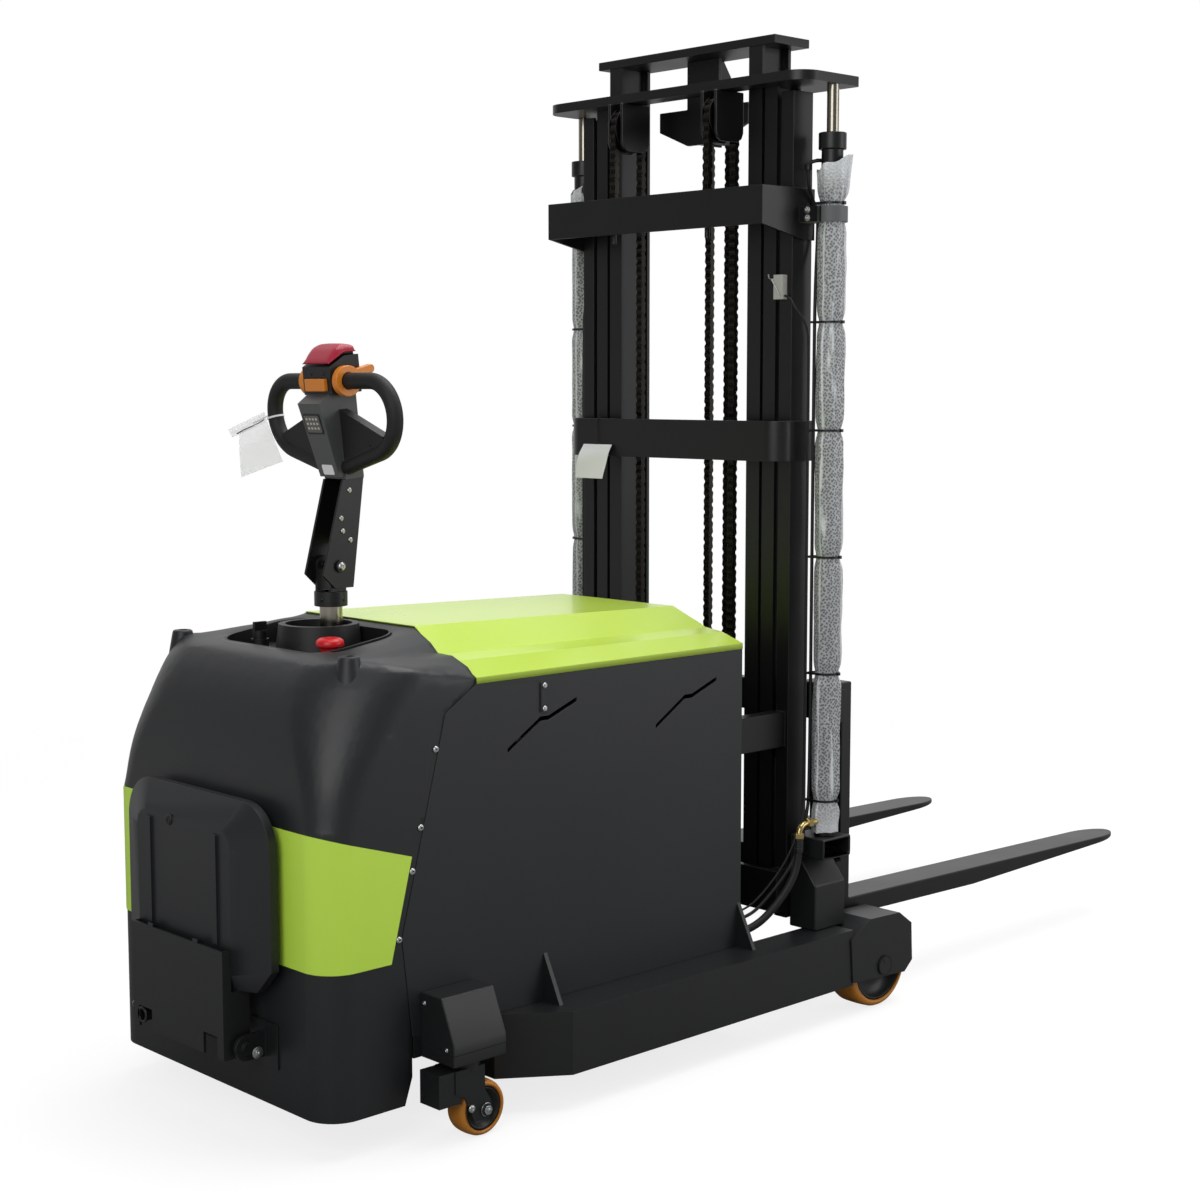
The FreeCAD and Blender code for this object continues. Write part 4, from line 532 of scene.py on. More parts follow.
def sweep(bm, points, radius, steps=12):
    """A round bar along a line of points."""
    rings = []
    for i, point in enumerate(points):
        ahead = points[min(i + 1, len(points) - 1)] - points[max(i - 1, 0)]
        place = placing(point, ahead.normalized())
        ring = [place @ p for p in circle(radius, steps)]
        if rings:
            shift = min(range(steps), key=lambda n: (ring[n] - rings[-1][0].co).length)
            ring = ring[shift:] + ring[:shift]
        rings.append([bm.verts.new(co) for co in ring])
    join_rings(bm, rings)
    bm.faces.new(list(reversed(rings[0])))
    bm.faces.new(rings[-1])


def middle(node):
    low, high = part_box(node)
    return (low + high) / 2


def spot(x, y, z):
    """A point given in millimetres from the steering axis, the centre plane and the floor."""
    return Vector((STEER_X + x * MM, y * MM, z * MM))


def spots(points, sign=1):
    """Points given in millimetres for the left side, put on the side that the sign says."""
    return [spot(x, sign * y, z) for x, y, z in points]


def land(node, start, direction):
    """Where a straight line from a point first meets a node, and which way the surface faces there."""
    mesh = frame["nodes"][node].data
    tree = BVHTree.FromPolygons([v.co for v in mesh.vertices], [p.vertices for p in mesh.polygons])
    point, normal, _, _ = tree.ray_cast(Vector(start), Vector(direction).normalized())
    if point is None:
        raise RuntimeError("nothing of " + node + " lies that way")
    return point, normal


def seat(bm, add, node, start, direction, sunk_mm, *size, follow=False):
    """Sets a fastener where a line meets a node: along that line, or square to the surface."""
    point, normal = land(node, start, direction)
    out = normal if follow else -Vector(direction)
    add(bm, point - out * (sunk_mm * MM), out, *size)


def paint(node, finish, chosen):
    """Gives some faces of a dressed node another finish."""
    mesh = frame["nodes"][node].data
    mesh.materials.append(FINISHES[finish])
    for face in mesh.polygons:
        if chosen(face.center):
            face.material_index = len(mesh.materials) - 1


def lay_cord(name, points, diameter, finish, body, lay, far_end="object"):
    """A hose or cable on a smooth line through its route."""
    data = bpy.data.curves.new(name, "CURVE")
    data.dimensions = "3D"
    line = data.splines.new("NURBS")
    line.points.add(len(points) - 1)
    for knot, point in zip(line.points, points):
        knot.co = (*point, 1)
    line.order_u = 3
    line.use_endpoint_u = True
    line.resolution_u = 12
    piece = link_new(name, data)
    drawn = bpy.data.meshes.new_from_object(piece)
    bpy.data.meshes.remove(drawn)
    data.bevel_depth = diameter / 2
    data.bevel_resolution = 5
    data.use_fill_caps = True
    data.materials.append(FINISHES[finish])
    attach(piece, body)


class STACKER_OT_stage(bpy.types.Operator):
    """Floor, light and camera"""

    bl_idname = "stacker.stage"
    bl_label = "Stage"
    # Name, property that holds its power, place, target and size in metres
    lamps = (
        ("overhead_lamp", "key", (0.7, -0.5, 5.2), (0.1, 0, 0.6), 4.2),
        ("operator_lamp", "fill", (-4.6, -2.2, 3.0), (0, 0, 0.8), 3.2),
        ("side_lamp", "side", (2.6, -4.2, 2.0), (-0.8, -0.4, 0.4), 2.4),
    )
    floor_radius = 40
    whitens = (2.2, 5.0)
    backdrop_edge = (0.12, 0.9)
    backdrop_lift = 0.35

    def execute(self, context):
        view = settings()[2]
        self.light_room(view)
        self.lay_floor(view)
        for name, power, place, target, size in self.lamps:
            lamp = bpy.data.lights.new(name, "AREA")
            lamp.size = size
            lamp.energy = getattr(view, power)
            self.aim(link_new(name, lamp), place, Vector(target) - Vector(place))
        self.set_camera(view)
        context.scene.view_settings.view_transform = "Standard"
        return {"FINISHED"}

    def seen(self, tree):
        """One for rays from the camera, straight or through film, and nothing for all others."""
        path = add_node(tree, "ShaderNodeLightPath").outputs
        return calc(tree, "MAXIMUM", path["Is Camera Ray"], path["Is Transmission Ray"])

    def light_room(self, view):
        """A lit backdrop ahead of the camera and a dim room behind it. The camera sees plain white."""
        world = bpy.data.worlds.new("studio")
        tree = empty_tree(world)
        place = add_node(tree, "ShaderNodeTexCoord").outputs["Generated"]
        ahead = (math.cos(view.yaw), math.sin(view.yaw), self.backdrop_lift)
        facing = add_node(tree, "ShaderNodeVectorMath", {0: place, 1: ahead}, operation="DOT_PRODUCT")
        level = remap(tree, facing, self.backdrop_edge, (view.room, view.sky), smooth=True)
        soft = add_node(tree, "ShaderNodeBackground", {"Color": WHITE, "Strength": level})
        white = add_node(tree, "ShaderNodeBackground", {"Color": WHITE, "Strength": 1.0})
        both = add_node(tree, "ShaderNodeMixShader", {0: self.seen(tree), 1: soft, 2: white})
        add_node(tree, "ShaderNodeOutputWorld", {"Surface": both})
        bpy.context.scene.world = world

    def lay_floor(self, view):
        """A matt floor that turns white away from the truck, and throws only part of that white on it."""
        bm = bmesh.new()
        bmesh.ops.create_circle(bm, cap_ends=True, segments=64, radius=self.floor_radius)
        mesh = bpy.data.meshes.new("studio_floor")
        bm.to_mesh(mesh)
        bm.free()
        floor = link_new("studio_floor", mesh)
        material = bpy.data.materials.new("studio_paint_matt")
        tree = empty_tree(material)
        place = add_node(tree, "ShaderNodeTexCoord").outputs["Object"]
        span = add_node(tree, "ShaderNodeVectorMath", {0: place}, operation="LENGTH")
        far = remap(tree, span, self.whitens, smooth=True)
        seen = self.seen(tree)
        lift = calc(tree, "MULTIPLY", seen, view.glow)
        share = calc(tree, "MAXIMUM", seen, view.bounce)
        coat = add_node(tree, "ShaderNodeBsdfDiffuse", {"Color": opaque(view.floor)})
        lifted = add_node(tree, "ShaderNodeEmission", {"Color": WHITE, "Strength": lift})
        near = add_node(tree, "ShaderNodeAddShader", {0: coat, 1: lifted})
        glow = add_node(tree, "ShaderNodeEmission", {"Color": WHITE, "Strength": 1.0})
        white = calc(tree, "MULTIPLY", far, share)
        both = add_node(tree, "ShaderNodeMixShader", {0: white, 1: near, 2: glow})
        add_node(tree, "ShaderNodeOutputMaterial", {"Surface": both})
        mesh.materials.append(material)

    def aim(self, holder, place, ahead):
        holder.location = place
        holder.rotation_euler = ahead.to_track_quat("-Z", "Y").to_euler()

    def set_camera(self, view):
        data = bpy.data.cameras.new("photo_camera")
        data.sensor_width = 36
        data.lens = view.lens
        data.clip_end = 200
        camera = link_new("photo_camera", data)
        level = math.cos(view.dip)
        ahead = Vector((math.cos(view.yaw) * level, math.sin(view.yaw) * level, -math.sin(view.dip)))
        self.aim(camera, view.place, ahead)
        bpy.context.scene.camera = camera


class STACKER_OT_body(bpy.types.Operator):
    """Frame, panels, cover, band, hood and what they hold"""

    bl_idname = "stacker.body"
    bl_label = "Body"
    deck_mm = 820
    slice_mm = 15
    passes = 22
    open_m = 0.3
    hood_fold = math.radians(6)
    hood_rim_mm = 5
    boss_profile_mm = (
        (0, 893), (36, 893), (33, 905), (22, 964), (20.5, 968.5), (18, 970), (10.5, 970), (9.5, 969),
        (9, 964.2), (0, 964.2),
    )

    def execute(self, context):
        dress("base_frame", "enamel_frame_black")
        for side, _ in SIDES:
            dress("side_panel_" + side, "powder_coat_charcoal", 0.8)
        dress("battery_pack", "moulded_pp_grey", 4)
        dress("hydraulic_unit", "enamel_frame_black", 4)
        dress("counterweight", "enamel_frame_black", 4)
        dress("control_tray", "moulded_pp_black", 2.5, 3)
        dress("cover_band", "cut_vinyl_lime", 0.6)
        self.round_cover()
        self.raise_bosses()
        self.round_hood()
        return {"FINISHED"}

    def round_cover(self):
        """The moulded cover, its deck and shoulders flowing into its sides."""
        low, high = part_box("rear_cover")
        bm = cleaned("rear_cover")
        slice_up(bm, Vector((low.x, low.y, self.deck_mm * MM)), high, self.slice_mm * MM)
        self.settle_skin(bm)
        piece = from_bmesh(bm, "moulded_cover", "formed_abs_charcoal", "chassis")
        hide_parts("rear_cover")

    def settle_skin(self, bm):
        """Lets the outer skin settle between its rims, and carries the inner skin with it."""
        tree = BVHTree.FromBMesh(bm)
        deck = self.deck_mm * MM
        outer = set()
        for face in bm.faces:
            start = face.calc_center_median() + face.normal * MM
            behind = face.normal.x < 0.5 and face.normal.z > -0.3
            if behind and tree.ray_cast(start, face.normal, self.open_m)[0] is None:
                outer.add(face)
        skin = [v for v in bm.verts if any(f in outer for f in v.link_faces)]
        before = {v: v.co.copy() for v in skin}
        settle([v for v in skin if v.co.z > deck and all(f in outer for f in v.link_faces)], self.passes)
        lookup = KDTree(len(skin))
        for i, v in enumerate(skin):
            lookup.insert(before[v], i)
        lookup.balance()
        for v in bm.verts:
            if v not in before and v.co.z > deck:
                nearest = skin[lookup.find(v.co)[1]]
                v.co += nearest.co - before[nearest]

    def raise_bosses(self):
        """The tapered screw towers that stand out of the cover's corners."""
        x, y = BOSS_MM
        for side, sign in SIDES:
            foot = Matrix.Translation(spot(x, sign * y, 0))
            profile = scaled(self.boss_profile_mm)
            turn_piece("cover_boss_" + side, profile, foot, 40, "formed_abs_charcoal", "chassis")

    def round_hood(self):
        """The pressed hood, rounded at the folds that face outwards."""
        low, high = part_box("hood")
        centre = Vector(((low.x + high.x) / 2, 0, low.z))
        rim = low.z + self.hood_rim_mm * MM

        def on_roof(edge):
            ends = [v.co for v in edge.verts]
            away = sum(ends, Vector()) / 2 - centre
            return all(f.normal.dot(away) > 0 for f in edge.link_faces) and all(co.z > rim for co in ends)

        bm = cleaned("hood")
        bevel(bm, [e for e in folds_over(bm, self.hood_fold) if on_roof(e)], settings()[1].hood_edge, 4)
        piece = from_bmesh(bm, "pressed_hood", "gloss_paint_lime", "hood")
        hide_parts("hood")


class STACKER_OT_running_gear(bpy.types.Operator):
    """Outriggers, casters, wheels and drive"""

    bl_idname = "stacker.running_gear"
    bl_label = "Running gear"
    collar_mm = 1032
    pivot_mm = 1118
    pivot_screw_mm = 9
    pivot_sunk_mm = 1.5
    shoulder_mm = 9
    crown_drop_mm = 1.2
    hub_and_bore_mm = {"load": (88, 15.05), "caster": (45, 8.05), "drive": (72, 25.05)}

    def execute(self, context):
        for side, _ in SIDES:
            dress("outrigger_" + side, "enamel_frame_black", 2)
            dress("caster_mount_" + side, "enamel_frame_black", 2.5)
            dress("caster_fork_" + side, "enamel_frame_black", 1)
            self.turn_wheel("load", "_" + side, "cast_polyurethane")
            self.turn_wheel("caster", "_" + side, "cast_polyurethane")
        self.turn_wheel("drive", "", "extruded_rubber_black")
        dress("drive_unit", "enamel_frame_black", 2.5)
        self.finish_post()
        return {"FINISHED"}

    def finish_post(self):
        """A ground post below, a painted collar and cheeks above, and a bright screw in each pin."""
        dress("steering_post", "enamel_mast_black", 1)
        collar = spot(0, 0, self.collar_mm).z
        paint("steering_post", "hard_chrome_ground", lambda centre: centre.z < collar)
        low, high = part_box("steering_post")
        bm = bmesh.new()
        for face, sign in ((low.y, -1), (high.y, 1)):
            centre = (STEER_X, face - sign * self.pivot_sunk_mm * MM, self.pivot_mm * MM)
            add_screw(bm, centre, (0, sign, 0), self.pivot_screw_mm * MM)
        from_bmesh(bm, "pivot_screws", "zinc_plate_turned", "steering")

    def turn_wheel(self, kind, end, tread):
        """A crowned tread cast on a dished hub, with a raised bearing boss."""
        node, body = kind + "_wheel" + end, kind + "_roll" + end
        hub, bore = (r * MM for r in self.hub_and_bore_mm[kind])
        low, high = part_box(node)
        outer, half = (high.z - low.z) / 2, (high.y - low.y) / 2
        place = placing((low + high) / 2, (0, 1, 0))
        shoulder = min(self.shoulder_mm * MM, half * 0.3)
        crown = []
        for i in range(9):
            t = -1 + i / 4
            crown.append((outer - self.crown_drop_mm * MM * t * t, t * (half - shoulder)))
        ends = [(outer - shoulder * 0.42, half - shoulder * 0.35), (outer - shoulder, half)]
        profile = [(r, -y) for r, y in reversed(ends)] + crown + ends + [(hub, half), (hub, -half)]
        tyre = turn_piece(node + "_tread", profile, place, 72, tread, body, closed=True)
        rim, boss, dish = hub - 7 * MM, bore * 1.9, half * 0.6
        face = [
            (hub - 0.1 * MM, half - 1.5 * MM), (rim, half - 1.5 * MM), (rim - 4 * MM, half - dish),
            (boss + 3 * MM, half - dish * 1.1), (boss, half - 3 * MM), (bore, half - 3 * MM),
        ]
        profile = face + [(r, -y) for r, y in reversed(face)]
        turn_piece(node + "_hub", profile, place, 56, "enamel_frame_black", body, closed=True)
        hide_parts(node)


class STACKER_OT_mast(bpy.types.Operator):
    """Rails, cross pieces, plates, pulleys, carriage and forks"""

    bl_idname = "stacker.mast"
    bl_label = "Mast"
    plates = (
        "outer_mast", "upper_crossmember", "mid_crossmember", "mid_mast", "mid_top_plate", "inner_mast",
        "inner_top_plate", "carriage",
    )
    strap_mm = 37.5
    roof_mm = 22
    yoke_top_mm = (-44, 50)
    yoke_low_mm = ((50, -34), (44, -48), (30, -56), (-24, -56), (-38, -48), (-44, -34))
    cheek_mm = (3, 13)
    cheek_edge_mm = 2.5
    lever_mm = (
        (1041, -331, 1697), (1039, -326, 1709), (1037, -309, 1736), (1036, -301, 1741), (1036, -299, 1749),
    )
    lever_radius_mm = 1.6

    def execute(self, context):
        for node in self.plates:
            dress(node, "enamel_mast_black")
        for side, _ in SIDES:
            dress("mast_foot_" + side, "enamel_frame_black", 5, 3)
            dress("lift_cylinder_" + side, "enamel_mast_black", 2)
            dress("lift_sheave_" + side, "oiled_steel_chain", 0.8)
            dress("fork_" + side, "enamel_mast_black", 4, 3)
        dress("load_sheave", "oiled_steel_chain", 0.8)
        self.finish_clamps()
        self.hang_yokes()
        dress("lift_rods", "hard_chrome_ground", 1)
        dress("limit_switch", "moulded_case_pale", 1.5)
        self.bend_lever()
        return {"FINISHED"}

    def finish_clamps(self):
        """The grey straps that hold the cylinders to the upper cross piece."""
        reach = self.strap_mm * MM
        axes = [middle("lift_cylinder_" + side) for side, _ in SIDES]

        def on_strap(centre):
            return min((centre - a).xy.length for a in axes) < reach

        paint("upper_crossmember", "rolled_strap_grey", on_strap)

    def hang_yokes(self):
        """Cheeks that carry each lift pulley under the wide top plate."""
        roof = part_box("mid_top_plate")[1].z - self.roof_mm * MM
        near, far = (y * MM for y in self.cheek_mm)
        for side, _ in SIDES:
            low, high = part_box("lift_sheave_" + side)
            centre = (low + high) / 2
            outline = [(centre.x + x * MM, roof) for x in self.yoke_top_mm]
            outline += [(centre.x + x * MM, centre.z + z * MM) for x, z in self.yoke_low_mm]
            bm = bmesh.new()
            for face, out in ((low.y, -1), (high.y, 1)):
                add_slab(bm, outline, face + out * near, face + out * far)
            bmesh.ops.recalc_face_normals(bm, faces=bm.faces)
            bevel(bm, folds_over(bm, SHARP), self.cheek_edge_mm * MM)
            from_bmesh(bm, "pulley_yoke_" + side, "enamel_mast_black", "mid_stage")

    def bend_lever(self):
        """The bent wire that the middle stage trips."""
        bm = bmesh.new()
        sweep(bm, spots(self.lever_mm), self.lever_radius_mm * MM, 10)
        from_bmesh(bm, "switch_lever", "zinc_plate_turned", "chassis")


class STACKER_OT_chains(bpy.types.Operator):
    """Leaf chains over the pulleys"""

    bl_idname = "stacker.chains"
    bl_label = "Chains"
    stack: IntProperty(name="Stack", description="Plates side by side in a chain", default=8, min=2)
    plate_mm = 7.6
    waist_share = 0.74
    pin_mm = 3.4
    pin_end_mm = 0.3
    gap_mm = 0.1
    half_share = 0.55

    def execute(self, context):
        low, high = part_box("lift_chain_rear")
        y = high.y - (high.x - low.x) * self.half_share
        both = (-y, y)
        pulley = middle("lift_sheave_left")
        radius = pulley.x - middle("lift_chain_rear").x
        self.run_strand("lift_chain_rear", both, ("chassis", "mid_stage"))
        self.fold_strand("lift_chain_front", both, "mid_stage", "inner_lift")
        self.turn_over("lift_chain_arcs", both, pulley, radius, "mid_stage", "lift_chain_over_pulleys")
        pulley = middle("load_sheave")
        radius = middle("load_chain_front").x - pulley.x
        self.run_strand("load_chain_rear", (0,), ("mid_stage", "inner_stage"))
        self.fold_strand("load_chain_front", (0,), "inner_stage", "carriage_lift")
        self.turn_over("load_chain_arc", (0,), pulley, radius, "inner_stage", "load_chain_over_pulley")
        return {"FINISHED"}

    def straight(self, node):
        """Pin places of a straight strand, with its pitch fitted to the strand's length."""
        low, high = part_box(node)
        x = (low.x + high.x) / 2
        foot = low.z + self.plate_mm * MM
        count = max(2, round((high.z - foot) / settings()[1].chain_pitch))
        step = (high.z - foot) / count
        return [(x, foot + i * step) for i in range(count + 1)]

    def build(self, pins, places, name):
        """Stacked plates that alternate from link to link, and the pins through them."""
        bm = bmesh.new()
        plate = settings()[1].chain_plate
        half = self.stack * plate / 2
        gap = self.gap_mm * MM
        r, end = self.pin_mm * MM, half + self.pin_end_mm * MM
        for y in places:
            for i, (a, b) in enumerate(zip(pins, pins[1:])):
                outline = self.plate_outline(Vector(a), Vector(b))
                for k in range(i % 2, self.stack, 2):
                    near = y - half + k * plate
                    add_slab(bm, outline, near + gap, near + plate - gap)
            for x, z in pins:
                turned(bm, [(0, -end), (r, -end), (r, end), (0, end)], placing((x, y, z), (0, 1, 0)), 8)
        return from_bmesh(bm, name, "oiled_steel_chain", smooth=False)

    def plate_outline(self, a, b):
        """The waisted outline of a side plate between two pins."""
        along = (b - a).normalized()
        across = Vector((-along.y, along.x))
        r = self.plate_mm * MM
        outline = []
        for end, sign in ((b, 1), (a, -1)):
            for i in range(7):
                t = math.pi * i / 6 - sign * math.pi / 2
                outline.append(end + along * (r * math.cos(t)) + across * (r * math.sin(t)))
            outline.append((a + b) / 2 + across * (sign * r * self.waist_share))
        return outline

    def on_centre(self, pin):
        return (pin[0], 0, pin[1])

    def run_strand(self, node, places, bodies):
        """A strand that pays out, built where it hangs and left on no body."""
        pins = self.straight(node)
        piece = self.build(pins, places, node + "_links")
        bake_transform(piece)
        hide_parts(node)

    def fold_strand(self, node, places, body, joint):
        """A strand that is taken up, its links riding on one body."""
        pins = self.straight(node)
        piece = self.build(pins, places, node + "_links")
        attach(piece, body)
        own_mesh(piece)
        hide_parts(node)

    def turn_over(self, node, places, pulley, radius, body, name):
        """The half turn of chain over a pulley."""
        count = round(math.pi * radius / settings()[1].chain_pitch)
        turns = [math.pi * i / count for i in range(count + 1)]
        pins = [(pulley.x - radius * math.cos(a), pulley.z + radius * math.sin(a)) for a in turns]
        piece = self.build(pins, places, name)
        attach(piece, body)
        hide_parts(node)


class STACKER_OT_sleeves(bpy.types.Operator):
    """Bubble film and ties round the lift cylinders"""

    bl_idname = "stacker.sleeves"
    bl_label = "Sleeves"
    rows: IntProperty(name="Rows", description="Rings of points up each sleeve", default=260, min=20)
    steps: IntProperty(name="Steps", description="Points round each sleeve", default=64, min=12)
    ties_mm = (1909, 1639, 1390, 1096, 822, 520)
    tie_hose_mm = 40
    tie_thick_mm = 1.8
    tie_in_mm = 3.4
    tie_slack_mm = 0.6
    tie_steps = 48
    knot_mm = Vector((4, 3, 3.5))
    knot_out_mm = 2
    strap_mm = (1884, 30)
    gather_mm = (438, 505)
    flare_mm = (1914, 2015)
    folds_deg = (188, 304)
    high_side_deg = 316
    fold_wide_mm = (4, 7)
    pale_mm = ((1925, 1985), (530, 455))
    film_mm = 0.8
    drawn_mm = 33
    least_mm = 6.5

    @classmethod
    def fold_lines(cls):
        """Where the folds lie round the unrolled film, and how wide the painted highlight along each is."""
        low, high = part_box("cylinder_sleeves")
        radius = (high.x - low.x) / 2
        return [(math.radians(a) * radius, w * MM) for a, w in zip(cls.folds_deg, cls.fold_wide_mm)]

    @classmethod
    def pale_ends(cls):
        """Heights between which the film turns white, at its top and at its foot."""
        return scaled(cls.pale_mm)

    def execute(self, context):
        low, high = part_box("cylinder_sleeves")
        radius = (high.x - low.x) / 2
        for side, sign in SIDES:
            axis = Vector(((low.x + high.x) / 2, sign * (high.y - radius), 0))
            self.wrap(side, axis, radius)
            self.tie(side, sign, axis, radius)
        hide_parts("cylinder_sleeves")
        return {"FINISHED"}

    def lean(self, angle):
        """How far a direction faces the side where the film stands highest."""
        return math.cos(angle - math.radians(self.high_side_deg))

    def girth(self, radius, height, angle, seed):
        """Radius of the crumpled film: drawn in at ties, gathered at the foot, loose at the top."""
        pinch = max(math.exp(-((height - t) / 17) ** 2) for t in self.ties_mm)
        strap, reach = self.strap_mm
        pinch = max(pinch, 0.7 * math.exp(-((height - strap) / reach) ** 4))
        around = Vector((math.cos(angle), math.sin(angle), 0))
        slow = noise.fractal(around * 1.3 + UP * (height / 160 + seed), 0.9, 2.0, 3)
        crease = noise.noise(around * 3.6 + UP * (height / 420 + seed))
        foot, whole = self.gather_mm
        narrow = max(0.0, (whole - height) / (whole - foot))
        rim, top = self.flare_mm
        loose = max(0.0, (height - rim) / (top - rim))
        ridge = 0.0
        for fold in self.folds_deg:
            turn = math.remainder(angle - math.radians(fold) - 0.2 * math.sin(height / 130), math.tau)
            ridge = max(ridge, math.exp(-((turn / 0.13) ** 2)))
        ridge *= 4.2 + 1.6 * noise.noise(UP * (height / 60 + seed))
        wide = 31.2 - 4.5 * pinch - 3.0 * narrow
        flap = loose * (11 + 6 * self.lean(angle) + 9 * noise.noise(around * 1.3 + UP * seed))
        gathered = 4.0 * narrow * noise.noise(around * 4.5 + UP * (height / 90 + seed))
        crumple = (1 - 0.75 * pinch) * (2.4 * slow + 2.2 * crease + ridge)
        return (wide + crumple + flap + gathered) * radius / self.drawn_mm

    def edge(self, angle, seed):
        """Height of the film's torn top edge and ragged foot."""
        around = Vector((math.cos(angle), math.sin(angle), 0))
        ragged = 16 * noise.noise(around * 1.1 + UP * (seed + 5))
        top = self.flare_mm[1] - 13 + 13 * self.lean(angle) + ragged
        foot = self.gather_mm[0] + 6 + 8 * noise.noise(around * 1.2 + UP * (seed + 9))
        return foot, top

    def wrap(self, side, axis, radius):
        """The film as a closed thin tube: its crumpled outside and a lining within it."""
        bm = bmesh.new()
        unrolled = bm.loops.layers.uv.new("film")
        inner = radius - self.least_mm * MM
        seed = axis.y * 9
        outside = []
        for k in range(self.rows + 1):
            ring = []
            for i in range(self.steps):
                a = math.tau * i / self.steps
                foot, top = self.edge(a, seed)
                height = foot + (top - foot) * k / self.rows
                r = max(inner, self.girth(radius, height, a, seed))
                ring.append(Vector((r * math.cos(a), r * math.sin(a), height * MM)))
            outside.append(ring)
        thin = 1 - self.film_mm * MM / radius
        lining = [[Vector((p.x * thin, p.y * thin, p.z)) for p in ring] for ring in reversed(outside)]
        rings = [[bm.verts.new(axis + p) for p in ring] for ring in outside + lining]
        join_rings(bm, rings, closed=True)
        for n, face in enumerate(bm.faces):
            i = n % self.steps
            for loop, turn in zip(face.loops, (i, i + 1, i + 1, i)):
                loop[unrolled].uv = (math.tau * turn / self.steps * radius, loop.vert.co.z)
        return from_bmesh(bm, "bubble_wrap_" + side, "bubble_film_clear", "chassis")

    def tie(self, side, sign, axis, radius):
        """Nylon ties drawn round the film and the drain hose beside it, each with its square head."""
        sizes = settings()[1]
        bm = bmesh.new()
        reach = radius - self.tie_in_mm * MM
        hose = Vector((-1, -sign)).normalized() * self.tie_hose_mm * MM
        small = sizes.drain / 2 + self.tie_slack_mm * MM
        thick = self.tie_thick_mm * MM
        for height in self.ties_mm:
            rings = []
            for grow, lift in ((0, -0.5), (thick, -0.5), (thick, 0.5), (0, 0.5)):
                ring = []
                for way in (p.xy for p in circle(1, self.tie_steps)):
                    beside = hose.dot(way) + small > reach
                    flat = hose + way * (small + grow) if beside else way * (reach + grow)
                    ring.append(bm.verts.new(axis + Vector((*flat, height * MM + lift * sizes.tie_width))))
                rings.append(ring)
            join_rings(bm, rings, closed=True)
            knot = axis + Vector((reach * 0.2, -reach - self.knot_out_mm * MM, height * MM))
            add_block(bm, knot - self.knot_mm * MM, knot + self.knot_mm * MM)
        from_bmesh(bm, "cable_ties_" + side, "cut_nylon_black", "chassis", smooth=False)


class STACKER_OT_platform(bpy.types.Operator):
    """Folding platform"""

    bl_idname = "stacker.platform"
    bl_label = "Platform"
    plug_mm = (-900, 46, 623)
    plug_profile_mm = ((0, -1), (11, -1), (11, 1), (9.5, 2.6), (6, 3.4), (5, 2.4), (0, 2.2))
    clips_mm = (96, -70)
    clip_low_mm = Vector((0.5, -9, -14))
    clip_high_mm = Vector((5.5, 9, 7))
    clip_edge_mm = 1.2
    hook_mm = (-392, 135, 203)
    hook_profile_mm = ((12, -2), (17, -2), (17, 2), (12, 2))

    def execute(self, context):
        dress("platform_pad", "formed_abs_charcoal", 5, 3)
        dress("platform_plate", "enamel_frame_black", 1.2)
        dress("platform_bracket", "enamel_frame_black", 1.2)
        # The round plug near the pad's top
        place = placing(*land("platform_pad", spot(*self.plug_mm), (1, 0, 0)))
        turn_piece("pad_plug", scaled(self.plug_profile_mm), place, 28, "moulded_pp_black", "platform")
        self.add_clips()
        return {"FINISHED"}

    def add_clips(self):
        """Folded lugs along the plate's top edge, and the hook by its left opening."""
        low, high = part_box("platform_plate")
        bm = bmesh.new()
        for y in self.clips_mm:
            place = Matrix.Translation((low.x, y * MM, high.z))
            add_block(bm, self.clip_low_mm * MM, self.clip_high_mm * MM, place)
        bevel(bm, folds_over(bm, SHARP), self.clip_edge_mm * MM)
        turned(bm, scaled(self.hook_profile_mm), placing(spot(*self.hook_mm), (-1, 0, 0)), 28, closed=True)
        from_bmesh(bm, "plate_clips", "enamel_frame_black", "platform")


